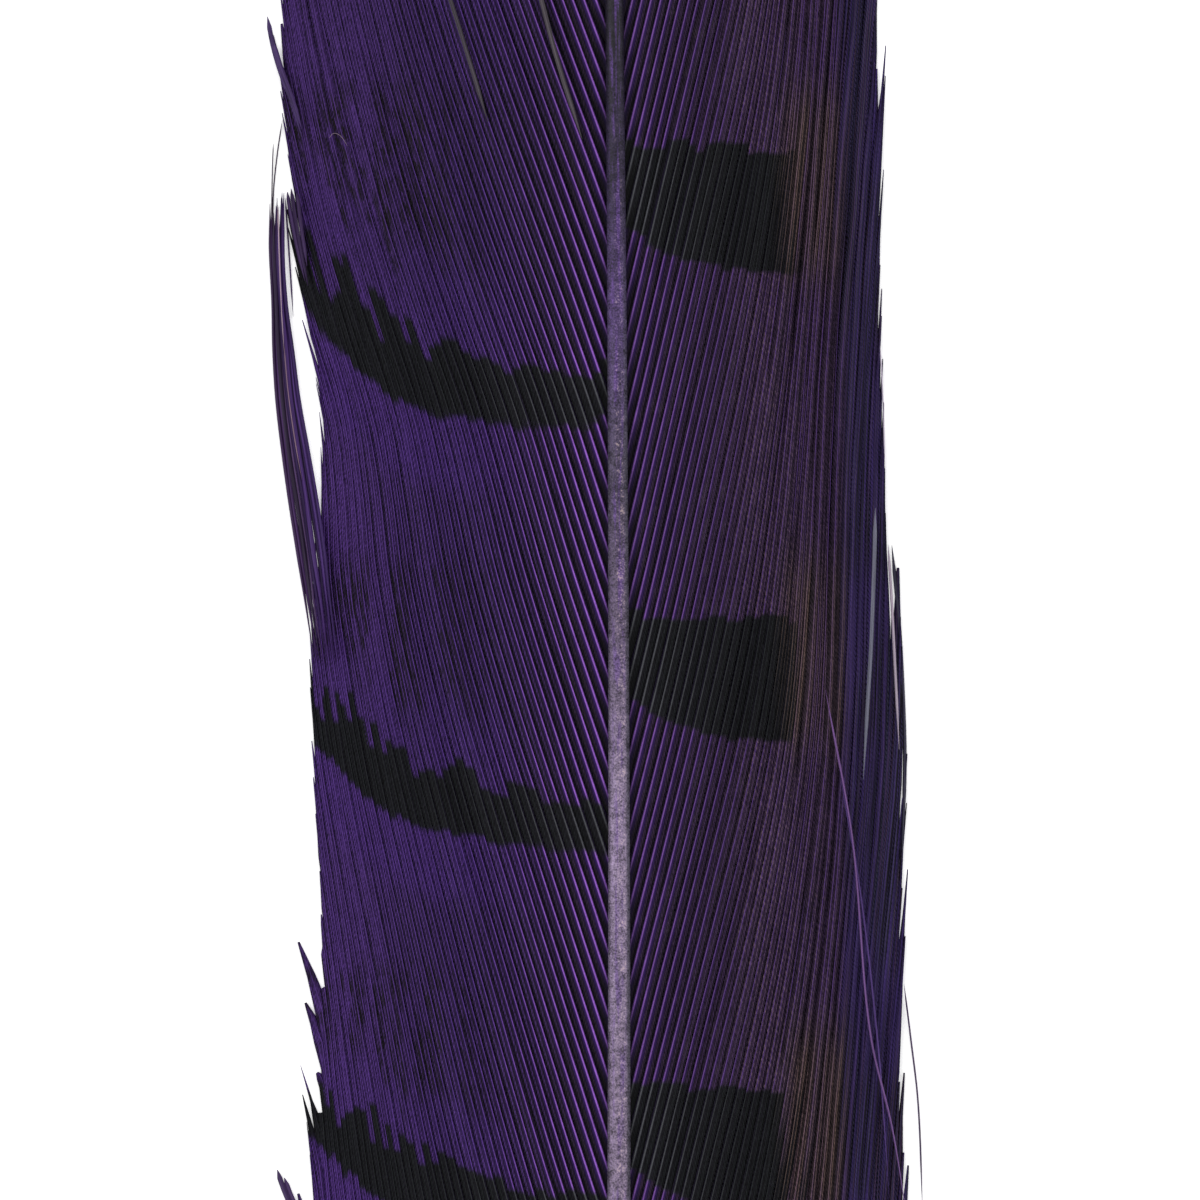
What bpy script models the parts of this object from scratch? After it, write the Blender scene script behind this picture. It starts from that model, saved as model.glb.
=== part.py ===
"""Pheasant tail feather, lying on a flat surface with its upper side up.

The feather grew as one piece: a bare quill, the shaft that it runs into, and a vane of barbs on
each side. +Y runs from the quill to the tip, +Z is up, and the surface it lies on is z = 0.
Each vane is a thin sheet bent along the paths of its barbs and parted at its edge into locks.
"""

import math
import random

import bmesh
import bpy
from mathutils import Vector

MM = 0.001

# Length, and what of it is bare quill
LENGTH = 400 * MM
BARE_QUILL = 36 * MM
TIP_Y = LENGTH / 2
QUILL_Y = -LENGTH / 2

# The shaft's place beside the origin, and its slight sideways bow
SHAFT_X = 1.5 * MM
BOW_DEPTH = 4.0 * MM
BOW_MIDDLE_Y = -4.0 * MM

# Shaft thickness: fine at the tip, growing faster towards the quill
SHAFT_TIP_WIDTH = 0.55 * MM
SHAFT_WINDOW_GAIN = 0.37 * MM
SHAFT_WINDOW_RUN = 155 * MM
SHAFT_POWER = 1.6
QUILL_WIDTH = 2.9 * MM
QUILL_END_WIDTH = 1.5 * MM
QUILL_END_RUN = 9 * MM
SWELLING_START = 1.6 * BARE_QUILL
SWELLING_RUN = 1.1 * BARE_QUILL
SHAFT_TIP_GAP = 2.0 * MM
SHAFT_DROP_SHARE = 0.1
SHAFT_STATIONS = 36
SHAFT_SIDE_RESOLUTION = 3

# Vane sheet
VANE_THICKNESS = 0.26 * MM
VANE_ROOT_SHARE = 0.2
LOCK_RIDGE = 0.24 * MM
RIDGE_ROOT_FADE = 6
RIDGE_EDGE_FADE = 4
FLAT_FROM = 0.9
LOCK_SEGMENTS = 2
BARB_LEVELS = (0.0, 0.15, 0.31, 0.47, 0.62, 0.74, 0.84, 0.91, 0.96, 1.0)

# Width of each vane, by distance from the feather's tip
LEFT_WIDTHS = (
    (0, 0.4), (12, 2.6), (35, 6.3), (70, 10.6), (110, 14.2), (150, 16.4), (165, 15.9), (171, 15.2),
    (176, 14.5), (180, 14.6), (184, 15.0), (190, 15.1), (205, 14.8), (220, 15.2), (260, 16.6),
    (295, 16.8), (325, 14.6), (350, 9.0), (372, 4.0),
)
RIGHT_WIDTHS = (
    (0, 0.4), (12, 2.1), (35, 5.0), (70, 8.4), (110, 11.2), (150, 12.7), (177, 12.9),
    (193, 13.8), (208, 13.8), (260, 14.9), (295, 15.1), (325, 13.0), (350, 8.2), (372, 3.6),
)

# Height of the vane's root above the surface, by distance from the tip
ROOT_HEIGHTS = ((0, 0.30), (40, 0.9), (110, 1.6), (200, 1.9), (300, 1.9), (364, 1.5), (400, 1.45))

# Barb angle to the shaft in degrees: at the shaft, the drop to the vane's edge, and its shape
LEFT_ANGLE = (18.8, 12.9)
RIGHT_ANGLE = (13.8, 9.6)
LEFT_NOMINAL_WIDTH = 15.3 * MM
RIGHT_NOMINAL_WIDTH = 13.3 * MM
RIGHT_FRINGE_FROM = 0.36
RIGHT_FRINGE_TO = 0.86

# How barbs shorten at both ends of the vane
TIP_SHORTENING = 2.3
FOOT_REACH = 0.34
FOOT_RUN = 70 * MM
LAST_ROOT_GAP = 3.0 * MM
RUN_STEPS = 200

# Splits of the edge in the feather's middle: y of the tip of the lock below, how far that lock
# bends out, how far the barbs above are worn back, and the share of the vane where the split starts
LEFT_SPLITS = (
    (-13.7, 0.9, 0.0, 0.97), (-7.7, 0.9, 0.7, 0.97), (-1.6, 1.0, 0.5, 0.97), (10.0, 0.0, 0.0, 1.0),
    (22.0, 0.0, 0.0, 1.0), (35.5, 0.3, 0.1, 0.93), (44.2, 0.4, 0.0, 0.93),
)
RIGHT_SPLITS = (
    (-12.0, 0.0, 0.0, 1.0), (4.0, 0.0, 0.0, 1.0), (17.7, 0.3, 0.2, 0.93), (33.0, 0.0, 0.0, 1.0),
)

# The other locks: their step along the shaft, and the range of their bends, wear and split starts
LOCK_STEP = 11.5 * MM
LOCK_JITTER = 0.3
SPLIT_BENDS = (0.1, 0.5)
SPLIT_WEAR = (0.1, 0.6)
SPLIT_STARTS = (0.91, 0.97)
SPLIT_SHAPE = 1.3
LEFT_SEED = 11
RIGHT_SEED = 23
WELD = 0.002 * MM
SHARP_ANGLE = 40

VANE_COLOR = (0.055, 0.03, 0.11, 1.0)
VANE_ROUGHNESS = 0.62


def soft_curve(points, x):
    """The value at x of a soft curve through (x, value) points, level beyond its ends."""
    if x <= points[0][0]:
        return points[0][1]
    if x >= points[-1][0]:
        return points[-1][1]
    slopes = [
        (b[1] - a[1]) / (b[0] - a[0]) for a, b in zip(points, points[1:])
    ]
    for i, (a, b) in enumerate(zip(points, points[1:])):
        if x <= b[0]:
            span = b[0] - a[0]
            slope_a = slopes[i] if i == 0 else (slopes[i - 1] + slopes[i]) / 2
            slope_b = slopes[i] if i == len(slopes) - 1 else (slopes[i] + slopes[i + 1]) / 2
            t = (x - a[0]) / span
            return (
                a[1] * (1 + 2 * t) * (1 - t) ** 2
                + slope_a * span * t * (1 - t) ** 2
                + b[1] * t * t * (3 - 2 * t)
                + slope_b * span * t * t * (t - 1)
            )


def ease(t):
    """A soft step from 0 to 1."""
    t = min(1.0, max(0.0, t))
    return t * t * (3 - 2 * t)


def shaft_x(y):
    """The shaft's sideways place."""
    return SHAFT_X - BOW_DEPTH * ((y - BOW_MIDDLE_Y) / TIP_Y) ** 2


def shaft_width(y):
    """The shaft's thickness, with the quill's swelling and its blunt end."""
    run = TIP_Y - y
    width = SHAFT_TIP_WIDTH + SHAFT_WINDOW_GAIN * (run / SHAFT_WINDOW_RUN) ** SHAFT_POWER
    swelling = ease((run - (LENGTH - SWELLING_START)) / SWELLING_RUN)
    width += (QUILL_WIDTH - width) * swelling
    end = ease((run - (LENGTH - QUILL_END_RUN)) / QUILL_END_RUN)
    return width + (QUILL_END_WIDTH - width) * end * end


def root_height(y):
    """Height of the vane's root, or of the quill's axis, above the surface."""
    return soft_curve(ROOT_HEIGHTS, (TIP_Y - y) / MM) * MM


class Vane:
    """One side's measures: its widths, barb angle, and the locks that its edge is parted into."""

    def __init__(self, side, widths, angle, nominal_width, splits, seed):
        self.side = side
        self.widths = widths
        self.angle = angle
        self.nominal_width = nominal_width
        self.run_table = self.integrate_run()
        self.full_run = self.run_table[-1]
        self.first_root = QUILL_Y + BARE_QUILL
        self.last_root = TIP_Y - LAST_ROOT_GAP
        self.roots, self.bends, self.wear, self.split_starts = self.part_into_locks(splits, seed)

    def barb_angle(self, v):
        """The barb's angle to the shaft where it has crossed the share v of the vane."""
        start, drop = self.angle
        if self.side < 0:
            return math.radians(start - drop * v * v)
        fringe = ease((v - RIGHT_FRINGE_FROM) / (RIGHT_FRINGE_TO - RIGHT_FRINGE_FROM))
        return math.radians(start - drop * fringe)

    def integrate_run(self):
        """How far along the shaft a barb has run, for each step across the vane."""
        table = [0.0]
        for i in range(RUN_STEPS):
            slope = 1 / math.tan(self.barb_angle((i + 0.5) / RUN_STEPS))
            table.append(table[-1] + self.nominal_width / RUN_STEPS * slope)
        return table

    def run(self, v):
        """How far along the shaft a barb has run once it has crossed the share v of the vane."""
        place = v * (len(self.run_table) - 1)
        i = min(int(place), len(self.run_table) - 2)
        return self.run_table[i] + (self.run_table[i + 1] - self.run_table[i]) * (place - i)

    def reach(self, root):
        """The share of its full run that a barb keeps: less near the tip and the quill."""
        shortening = TIP_SHORTENING * self.full_run
        near_tip = max(0.0, (root - (TIP_Y - shortening)) / shortening)
        near_foot = ease((root - self.first_root) / FOOT_RUN)
        return (1 - near_tip ** 2) * (FOOT_REACH + (1 - FOOT_REACH) * near_foot)

    def part_into_locks(self, splits, seed):
        """Roots of the barbs between locks, and the bend, wear and start of the split at each."""
        draw = random.Random(seed)
        fixed = [(y * MM - self.full_run, bend, wear, start) for y, bend, wear, start in splits]
        marks = [(self.first_root, 0.0, 0.0, 1.0)]
        marks += self.loose_marks(draw, self.first_root, fixed[0][0])
        marks += fixed
        marks += self.loose_marks(draw, fixed[-1][0], self.last_root)
        marks += [(self.last_root, 0.0, 0.0, 1.0)]
        return [list(column) for column in zip(*marks)]

    def loose_marks(self, draw, low, high):
        """Marks between two roots, a lock apart and slightly uneven."""
        count = max(1, round((high - low) / LOCK_STEP))
        marks = []
        for k in range(1, count):
            place = k + draw.uniform(-LOCK_JITTER, LOCK_JITTER)
            bend = draw.uniform(*SPLIT_BENDS)
            wear = draw.uniform(*SPLIT_WEAR)
            start = draw.uniform(*SPLIT_STARTS)
            marks.append((low + (high - low) * place / count, bend, wear, start))
        return marks

    def split_share(self, mark, v):
        """How open the split at a mark is where its barbs have crossed the share v."""
        start = self.split_starts[mark]
        return 0.0 if start >= 1 else max(0.0, (v - start) / (1 - start))

    def point(self, lock, across, v):
        """A point of the sheet's underside: across is 0 to 1 over the lock, v 0 to 1 outwards."""
        nominal = self.nominal_width / MM
        worn = self.wear[lock] / nominal * (1 - across) * self.split_share(lock, v)
        bend = self.bends[lock + 1] / nominal * across
        bend *= self.split_share(lock + 1, v) ** SPLIT_SHAPE
        root = self.roots[lock] + (self.roots[lock + 1] - self.roots[lock]) * across
        y = root + self.run(v - worn) * self.reach(root)
        width = soft_curve(self.widths, (TIP_Y - y) / MM) * MM
        root_offset = VANE_ROOT_SHARE * shaft_width(y)
        x = shaft_x(y) + self.side * (root_offset + (v - worn + bend) * width)
        arch = math.cos(math.pi / 2 * min(1.0, v / FLAT_FROM)) ** 2
        ridge = LOCK_RIDGE * math.sin(math.pi * across) * ease(RIDGE_ROOT_FADE * v)
        ridge *= min(1.0, RIDGE_EDGE_FADE * arch)
        return Vector((x, y, root_height(y) * arch + ridge))


def vane_sheet(name, vane, collection):
    """A thickened sheet of locks: grids bent along the barbs' paths, welded where they touch."""
    sheet = bmesh.new()
    rows = len(BARB_LEVELS) - 1
    for lock in range(len(vane.roots) - 1):
        grid = bmesh.ops.create_grid(sheet, x_segments=LOCK_SEGMENTS, y_segments=rows, size=0.5)
        for vertex in grid["verts"]:
            level = BARB_LEVELS[round((vertex.co.y + 0.5) * rows)]
            vertex.co = vane.point(lock, vertex.co.x + 0.5, level)
    bmesh.ops.remove_doubles(sheet, verts=sheet.verts, dist=WELD)
    if vane.side < 0:
        bmesh.ops.reverse_faces(sheet, faces=sheet.faces)
    mesh = bpy.data.meshes.new(name)
    sheet.to_mesh(mesh)
    sheet.free()
    vane_object = bpy.data.objects.new(name, mesh)
    collection.objects.link(vane_object)
    thickness = vane_object.modifiers.new("Thickness", "SOLIDIFY")
    thickness.thickness = VANE_THICKNESS
    thickness.offset = -1
    vane_object.hide_render = True
    vane_object.display_type = "WIRE"
    return vane_object


def shaft_mesh(name, collection):
    """Quill and shaft: one curve whose thickness follows shaft_width, made a closed mesh."""
    curve = bpy.data.curves.new(name, "CURVE")
    curve.dimensions = "3D"
    curve.bevel_depth = 1.0
    curve.bevel_resolution = SHAFT_SIDE_RESOLUTION
    curve.use_fill_caps = True
    spline = curve.splines.new("POLY")
    spline.points.add(SHAFT_STATIONS)
    low = QUILL_Y
    high = TIP_Y - SHAFT_TIP_GAP
    for i, point in enumerate(spline.points):
        y = low + (high - low) * i / SHAFT_STATIONS
        radius = shaft_width(y) / 2
        height = root_height(y) + VANE_THICKNESS / 2 - SHAFT_DROP_SHARE * radius
        point.co = (shaft_x(y), y, max(height, radius), 1.0)
        point.radius = radius
    curve_object = bpy.data.objects.new(name, curve)
    collection.objects.link(curve_object)
    bpy.context.view_layer.update()
    evaluated = curve_object.evaluated_get(bpy.context.evaluated_depsgraph_get())
    mesh = bpy.data.meshes.new_from_object(evaluated)
    bpy.data.objects.remove(curve_object)
    welded = bmesh.new()
    welded.from_mesh(mesh)
    bmesh.ops.remove_doubles(welded, verts=welded.verts, dist=WELD)
    welded.to_mesh(mesh)
    welded.free()
    mesh.name = name
    return mesh


def vane_material():
    """Dyed barbs: dark violet, dull."""
    material = bpy.data.materials.new("dyed_vane")
    material.use_nodes = True
    shader = material.node_tree.nodes["Principled BSDF"]
    shader.inputs["Base Color"].default_value = VANE_COLOR
    shader.inputs["Roughness"].default_value = VANE_ROUGHNESS
    shader.inputs["Metallic"].default_value = 0.0
    return material


def build_feather():
    """The whole feather: its shaft, with both vanes grown on to it."""
    parts = bpy.data.collections.new("pheasant_tail_feather")
    grown_on = bpy.data.collections.new("grown_on_shapes")
    bpy.context.scene.collection.children.link(parts)
    bpy.context.scene.collection.children.link(grown_on)
    left = Vane(-1, LEFT_WIDTHS, LEFT_ANGLE, LEFT_NOMINAL_WIDTH, LEFT_SPLITS, LEFT_SEED)
    right = Vane(1, RIGHT_WIDTHS, RIGHT_ANGLE, RIGHT_NOMINAL_WIDTH, RIGHT_SPLITS, RIGHT_SEED)
    mesh = shaft_mesh("feather", parts)
    feather = bpy.data.objects.new("feather", mesh)
    parts.objects.link(feather)
    for name, vane in (("left_vane", left), ("right_vane", right)):
        union = feather.modifiers.new(name, "BOOLEAN")
        union.operation = "UNION"
        union.solver = "EXACT"
        union.object = vane_sheet(name, vane, grown_on)
    mesh.materials.append(vane_material())
    mesh.shade_smooth()
    mesh.set_sharp_from_angle(angle=math.radians(SHARP_ANGLE))


def main():
    for old in list(bpy.data.objects):
        bpy.data.objects.remove(old, do_unlink=True)
    build_feather()


main()
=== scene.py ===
"""Pheasant tail feather: the fine vanes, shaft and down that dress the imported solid.

Laid out as an add-on and run as a script. Each vane is rows of single barbs swept along guide
lines by a Geometry Nodes tree, and its bars, halos and blotches are drawn by the shader.
"""

import math
import random

import bmesh
import bpy
import numpy as np
from bpy.props import FloatProperty, FloatVectorProperty, IntProperty, PointerProperty
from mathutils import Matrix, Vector


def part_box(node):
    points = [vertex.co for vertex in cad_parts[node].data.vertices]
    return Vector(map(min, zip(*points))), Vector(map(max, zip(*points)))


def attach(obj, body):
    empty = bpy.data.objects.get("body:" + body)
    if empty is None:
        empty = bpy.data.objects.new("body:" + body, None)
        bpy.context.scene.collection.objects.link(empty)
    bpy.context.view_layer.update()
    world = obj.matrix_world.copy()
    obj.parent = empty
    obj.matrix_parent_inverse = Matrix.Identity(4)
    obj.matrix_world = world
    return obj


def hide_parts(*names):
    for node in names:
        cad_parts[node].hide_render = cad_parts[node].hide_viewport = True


bl_info = {
    "name": "Pheasant Tail Feather",
    "version": (1, 0, 0),
    "blender": (4, 5, 0),
    "location": "View3D > Sidebar > Feather",
    "description": "Builds a dyed, barred tail feather lying on a pale floor",
    "category": "Object",
}

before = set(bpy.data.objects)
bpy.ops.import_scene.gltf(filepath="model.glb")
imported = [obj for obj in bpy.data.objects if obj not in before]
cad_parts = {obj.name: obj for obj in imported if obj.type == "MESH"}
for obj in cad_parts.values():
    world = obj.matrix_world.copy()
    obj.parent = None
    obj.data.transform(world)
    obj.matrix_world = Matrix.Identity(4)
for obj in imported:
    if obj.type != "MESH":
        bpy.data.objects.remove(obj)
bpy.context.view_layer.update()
NODE = "feather"
BODY = "root"
LOW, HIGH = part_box(NODE)

MM = 0.001
LENGTH = 400 * MM
BARE_QUILL = 36 * MM
TIP_Y = LENGTH / 2
QUILL_Y = -LENGTH / 2
SHAFT_X = 1.5 * MM
BOW_DEPTH = 4.0 * MM
BOW_MIDDLE_Y = -4.0 * MM
SHAFT_TIP_WIDTH = 0.55 * MM
SHAFT_WINDOW_GAIN = 0.37 * MM
SHAFT_WINDOW_RUN = 155 * MM
SHAFT_POWER = 1.6
QUILL_WIDTH = 2.9 * MM
QUILL_END_WIDTH = 1.5 * MM
QUILL_END_RUN = 9 * MM
SWELLING_START = 1.6 * BARE_QUILL
SWELLING_RUN = 1.1 * BARE_QUILL
SHAFT_TIP_GAP = 2.0 * MM
SHAFT_DROP_SHARE = 0.1
SHEET_THICKNESS = 0.26 * MM
VANE_ROOT_SHARE = 0.2
FLAT_FROM = 0.9
LOCK_RIDGE = 0.24 * MM
RIDGE_ROOT_FADE = 6
RIDGE_EDGE_FADE = 4

# Width of each vane and height of its root, by distance from the feather's tip, in millimetres
LEFT_WIDTHS = (
    (0, 0.4), (12, 2.6), (35, 6.3), (70, 10.6), (110, 14.2), (150, 16.4), (165, 15.9), (171, 15.2),
    (176, 14.5), (180, 14.6), (184, 15.0), (190, 15.1), (205, 14.8), (220, 15.2), (260, 16.6),
    (295, 16.8), (325, 14.6), (350, 9.0), (372, 4.0),
)
RIGHT_WIDTHS = (
    (0, 0.4), (12, 2.1), (35, 5.0), (70, 8.4), (110, 11.2), (150, 12.7), (177, 12.9),
    (193, 13.8), (208, 13.8), (260, 14.9), (295, 15.1), (325, 13.0), (350, 8.2), (372, 3.6),
)
ROOT_HEIGHTS = ((0, 0.30), (40, 0.9), (110, 1.6), (200, 1.9), (300, 1.9), (364, 1.5), (400, 1.45))

LEFT_ANGLE = (18.8, 12.9)
RIGHT_ANGLE = (13.8, 9.6)
LEFT_NOMINAL_WIDTH = 15.3 * MM
RIGHT_NOMINAL_WIDTH = 13.3 * MM
RIGHT_FRINGE_FROM = 0.36
RIGHT_FRINGE_TO = 0.86
TIP_SHORTENING = 2.3
FOOT_REACH = 0.34
FOOT_RUN = 70 * MM
LAST_ROOT_GAP = 3.0 * MM
RUN_STEPS = 200

LEFT_SPLITS = (
    (-13.7, 0.9, 0.0, 0.97), (-7.7, 0.9, 0.7, 0.97), (-1.6, 1.0, 0.5, 0.97), (10.0, 0.0, 0.0, 1.0),
    (22.0, 0.0, 0.0, 1.0), (35.5, 0.3, 0.1, 0.93), (44.2, 0.4, 0.0, 0.93),
)
RIGHT_SPLITS = (
    (-12.0, 0.0, 0.0, 1.0), (4.0, 0.0, 0.0, 1.0), (17.7, 0.3, 0.2, 0.93), (33.0, 0.0, 0.0, 1.0),
)
LOCK_STEP = 11.5 * MM
LOCK_JITTER = 0.3
SPLIT_BENDS = (0.1, 0.5)
SPLIT_WEAR = (0.1, 0.6)
SPLIT_STARTS = (0.91, 0.97)
SPLIT_SHAPE = 1.3
LEFT_SEED = 11
RIGHT_SEED = 23


def srgb(red, green, blue):
    """A colour read off a screen, 0 to 255, as the linear values that a shader takes."""
    channels = []
    for value in (red, green, blue):
        share = value / 255
        channels.append(share / 12.92 if share <= 0.04045 else ((share + 0.055) / 1.055) ** 2.4)
    return (*channels, 1.0)


def ease(t):
    """A soft step from 0 to 1."""
    t = np.clip(t, 0.0, 1.0)
    return t * t * (3 - 2 * t)


def soft_curve(points, x):
    """Values at x of a soft curve through (x, value) points, level beyond its ends."""
    places = np.array([p[0] for p in points], float)
    values = np.array([p[1] for p in points], float)
    slopes = np.diff(values) / np.diff(places)
    knots = np.concatenate((slopes[:1], (slopes[1:] + slopes[:-1]) / 2, slopes[-1:]))
    i = np.clip(np.searchsorted(places, x) - 1, 0, len(places) - 2)
    span = places[i + 1] - places[i]
    t = np.clip((x - places[i]) / span, 0, 1)
    return (
        values[i] * (1 + 2 * t) * (1 - t) ** 2
        + knots[i] * span * t * (1 - t) ** 2
        + values[i + 1] * t * t * (3 - 2 * t)
        + knots[i + 1] * span * t * t * (t - 1)
    )


def shaft_x(y):
    """The shaft's sideways place."""
    return SHAFT_X - BOW_DEPTH * ((y - BOW_MIDDLE_Y) / TIP_Y) ** 2


def shaft_width(y):
    """The shaft's thickness, with the quill's swelling and its blunt end."""
    run = np.maximum(TIP_Y - y, 0)
    width = SHAFT_TIP_WIDTH + SHAFT_WINDOW_GAIN * (run / SHAFT_WINDOW_RUN) ** SHAFT_POWER
    swelling = ease((run - (LENGTH - SWELLING_START)) / SWELLING_RUN)
    width = width + (QUILL_WIDTH - width) * swelling
    end = ease((run - (LENGTH - QUILL_END_RUN)) / QUILL_END_RUN)
    return width + (QUILL_END_WIDTH - width) * end * end


def root_height(y):
    """Height of the vane's root, or of the quill's axis, above the surface."""
    return soft_curve(ROOT_HEIGHTS, (TIP_Y - y) / MM) * MM


class Vane:
    """One side's measures: widths, barb angle, and the locks that its edge is parted into."""

    def __init__(self, side, widths, angle, nominal_width, splits, seed):
        self.side = side
        self.widths = widths
        self.angle = angle
        self.nominal_width = nominal_width
        slopes = 1 / np.tan(self.barb_angle((np.arange(RUN_STEPS) + 0.5) / RUN_STEPS))
        self.run_table = np.concatenate(([0.0], np.cumsum(nominal_width / RUN_STEPS * slopes)))
        self.full_run = self.run_table[-1]
        self.first_root = QUILL_Y + BARE_QUILL
        self.last_root = TIP_Y - LAST_ROOT_GAP
        marks = self.part_into_locks(splits, seed)
        self.roots, self.bends, self.wear, self.split_starts = (np.array(m) for m in zip(*marks))

    def barb_angle(self, v):
        """A barb's angle to the shaft where it has crossed the share v of the vane."""
        start, drop = self.angle
        if self.side < 0:
            return np.radians(start - drop * v * v)
        fringe = ease((v - RIGHT_FRINGE_FROM) / (RIGHT_FRINGE_TO - RIGHT_FRINGE_FROM))
        return np.radians(start - drop * fringe)

    def run(self, v):
        """How far along the shaft a barb has run once it has crossed the share v of the vane."""
        shares = np.linspace(0, 1, len(self.run_table))
        return np.interp(v, shares, self.run_table)

    def reach(self, root):
        """The share of its full run that a barb keeps: less near the tip and the quill."""
        shortening = TIP_SHORTENING * self.full_run
        near_tip = np.maximum(0.0, (root - (TIP_Y - shortening)) / shortening)
        near_foot = ease((root - self.first_root) / FOOT_RUN)
        return (1 - near_tip ** 2) * (FOOT_REACH + (1 - FOOT_REACH) * near_foot)

    def part_into_locks(self, splits, seed):
        """Roots of the barbs between locks, and the bend, wear and start of the split at each."""
        draw = random.Random(seed)
        fixed = [(y * MM - self.full_run, bend, wear, start) for y, bend, wear, start in splits]
        marks = [(self.first_root, 0.0, 0.0, 1.0)]
        marks += self.loose_marks(draw, self.first_root, fixed[0][0])
        marks += fixed
        marks += self.loose_marks(draw, fixed[-1][0], self.last_root)
        return marks + [(self.last_root, 0.0, 0.0, 1.0)]

    def loose_marks(self, draw, low, high):
        """Marks between two roots, a lock apart and slightly uneven."""
        count = max(1, round((high - low) / LOCK_STEP))
        marks = []
        for k in range(1, count):
            place = k + draw.uniform(-LOCK_JITTER, LOCK_JITTER)
            bend = draw.uniform(*SPLIT_BENDS)
            wear = draw.uniform(*SPLIT_WEAR)
            start = draw.uniform(*SPLIT_STARTS)
            marks.append((low + (high - low) * place / count, bend, wear, start))
        return marks

    def split_share(self, mark, v):
        """How open the split at a mark is where its barbs have crossed the share v."""
        start = self.split_starts[mark]
        open_to = np.maximum(1 - start, 1e-6)
        return np.where(start >= 1, 0.0, np.maximum(0.0, (v - start) / open_to))

    def points(self, root, v):
        """Places on the sheet's underside for barbs rooted at root, at the shares v across."""
        lock = np.clip(np.searchsorted(self.roots, root, side="right") - 1, 0, len(self.roots) - 2)
        across = (root - self.roots[lock]) / (self.roots[lock + 1] - self.roots[lock])
        nominal = self.nominal_width / MM
        worn = self.wear[lock] / nominal * (1 - across) * self.split_share(lock, v)
        bend = self.bends[lock + 1] / nominal * across
        bend = bend * self.split_share(lock + 1, v) ** SPLIT_SHAPE
        y = root + self.run(v - worn) * self.reach(root)
        width = soft_curve(self.widths, (TIP_Y - y) / MM) * MM
        lateral = VANE_ROOT_SHARE * shaft_width(y) + (v - worn + bend) * width
        x = shaft_x(y) + self.side * lateral
        arch = np.cos(math.pi / 2 * np.minimum(1.0, v / FLAT_FROM)) ** 2
        ridge = LOCK_RIDGE * np.sin(math.pi * across) ** 2 * ease(RIDGE_ROOT_FADE * v)
        ridge = ridge * np.minimum(1.0, RIDGE_EDGE_FADE * arch)
        z = root_height(y) * arch + ridge
        return x, y, z, lateral


LEFT = Vane(-1, LEFT_WIDTHS, LEFT_ANGLE, LEFT_NOMINAL_WIDTH, LEFT_SPLITS, LEFT_SEED)
RIGHT = Vane(1, RIGHT_WIDTHS, RIGHT_ANGLE, RIGHT_NOMINAL_WIDTH, RIGHT_SPLITS, RIGHT_SEED)

# The picture's frame: how many of its pixels make a millimetre, and what lies at its middle
FRAME_PIXELS = 1200
PIXELS_PER_MM = 20.0
FRAME_MIDDLE = (0.544 * MM, 15.0 * MM)

BAR_LEAD = 5.0
BAR_STRETCH_FROM = 28.0
BAR_FOOT_RUN = 0.9

# Barbs: their section, how they lie on each other, and how many carry each piece
WEB_EDGE_FROM = 0.9
RIDGE = 0.7
TILT = -0.12
STEEPEST_LEAN = 0.4
BARB_LIFT = 0.12 * MM
RELIEF = 0.02 * MM
BARB_THICKNESS = 0.05 * MM
PITCH_JITTER = 0.05
RAMUS_EDGE_SHARE = 0.26
RAMUS_TAPER_SHARE = 0.26
RAMUS_TIP = 0.1
WEB_TIP = 0.12
WEB_ROOT = 0.55
WEB_ROOT_RUN = 0.45 * MM
SPACING_RANGE = (0.55, 3.0)
SWAY_WAVES = ((31.0, 1.0), (13.0, 0.5), (5.5, 0.22))

# How barbs end at the left and right edge: the shortest's length as a share, how far they reach
# past the solid, how much of them tapers, and how high the topmost one lies over the lowest
EDGE_FORMS = {-1: (0.985, 0.2 * MM, 0.03, 0.05 * MM), 1: (0.975, 0.4 * MM, 0.04, 0.22 * MM)}
END_STATIONS = 50
END_SECTION = 8
MIDDLE_STATIONS = 80
MIDDLE_SECTION = 12
MIDDLE_ROOTS = {"left": (-84 * MM, 46 * MM), "right": (-122 * MM, 46 * MM)}

# Bars on each side, in mm: where the first one's lower edge meets the shaft, their step and form
LEFT_BARS = {
    "first": 2.0, "pitch": 20.15, "warp": 0.65, "slope": 0.13, "bend": 0.08, "bend_from": 8.5,
    "drop_run": 1.0, "height": 2.8, "top_slope": 0.16, "start": 2.2, "uneven": 0.9, "ragged": 1.9,
    "jitter": 0.45, "cut": 40.0, "soft": 0.35, "stretch": 0.24,
}
RIGHT_BARS = {
    "first": 10.5, "pitch": 23.5, "drop": 2.95, "drop_run": 2.6, "height": 4.0,
    "top_slope": -0.03, "uneven": 0.4, "jitter": 0.35, "cut": 8.8, "soft": 0.3,
}

# Shaft
SHAFT_STATIONS = 160
SHAFT_SECTION = 24
SHAFT_ROUNDNESS = 0.85
SHAFT_COLOUR_RUN = (-190.0, 80.0)
SHAFT_COLOURS = (
    (-170.0, "quill"), (-100.0, "shaft_pale"), (-12.0, "shaft_grey"), (4.0, "shaft_pale"),
    (15.0, "shaft_middle"), (22.0, "shaft_slate"), (29.5, "shaft_violet"), (35.0, "shaft_dark"),
    (43.0, "shaft_black"),
)

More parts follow.
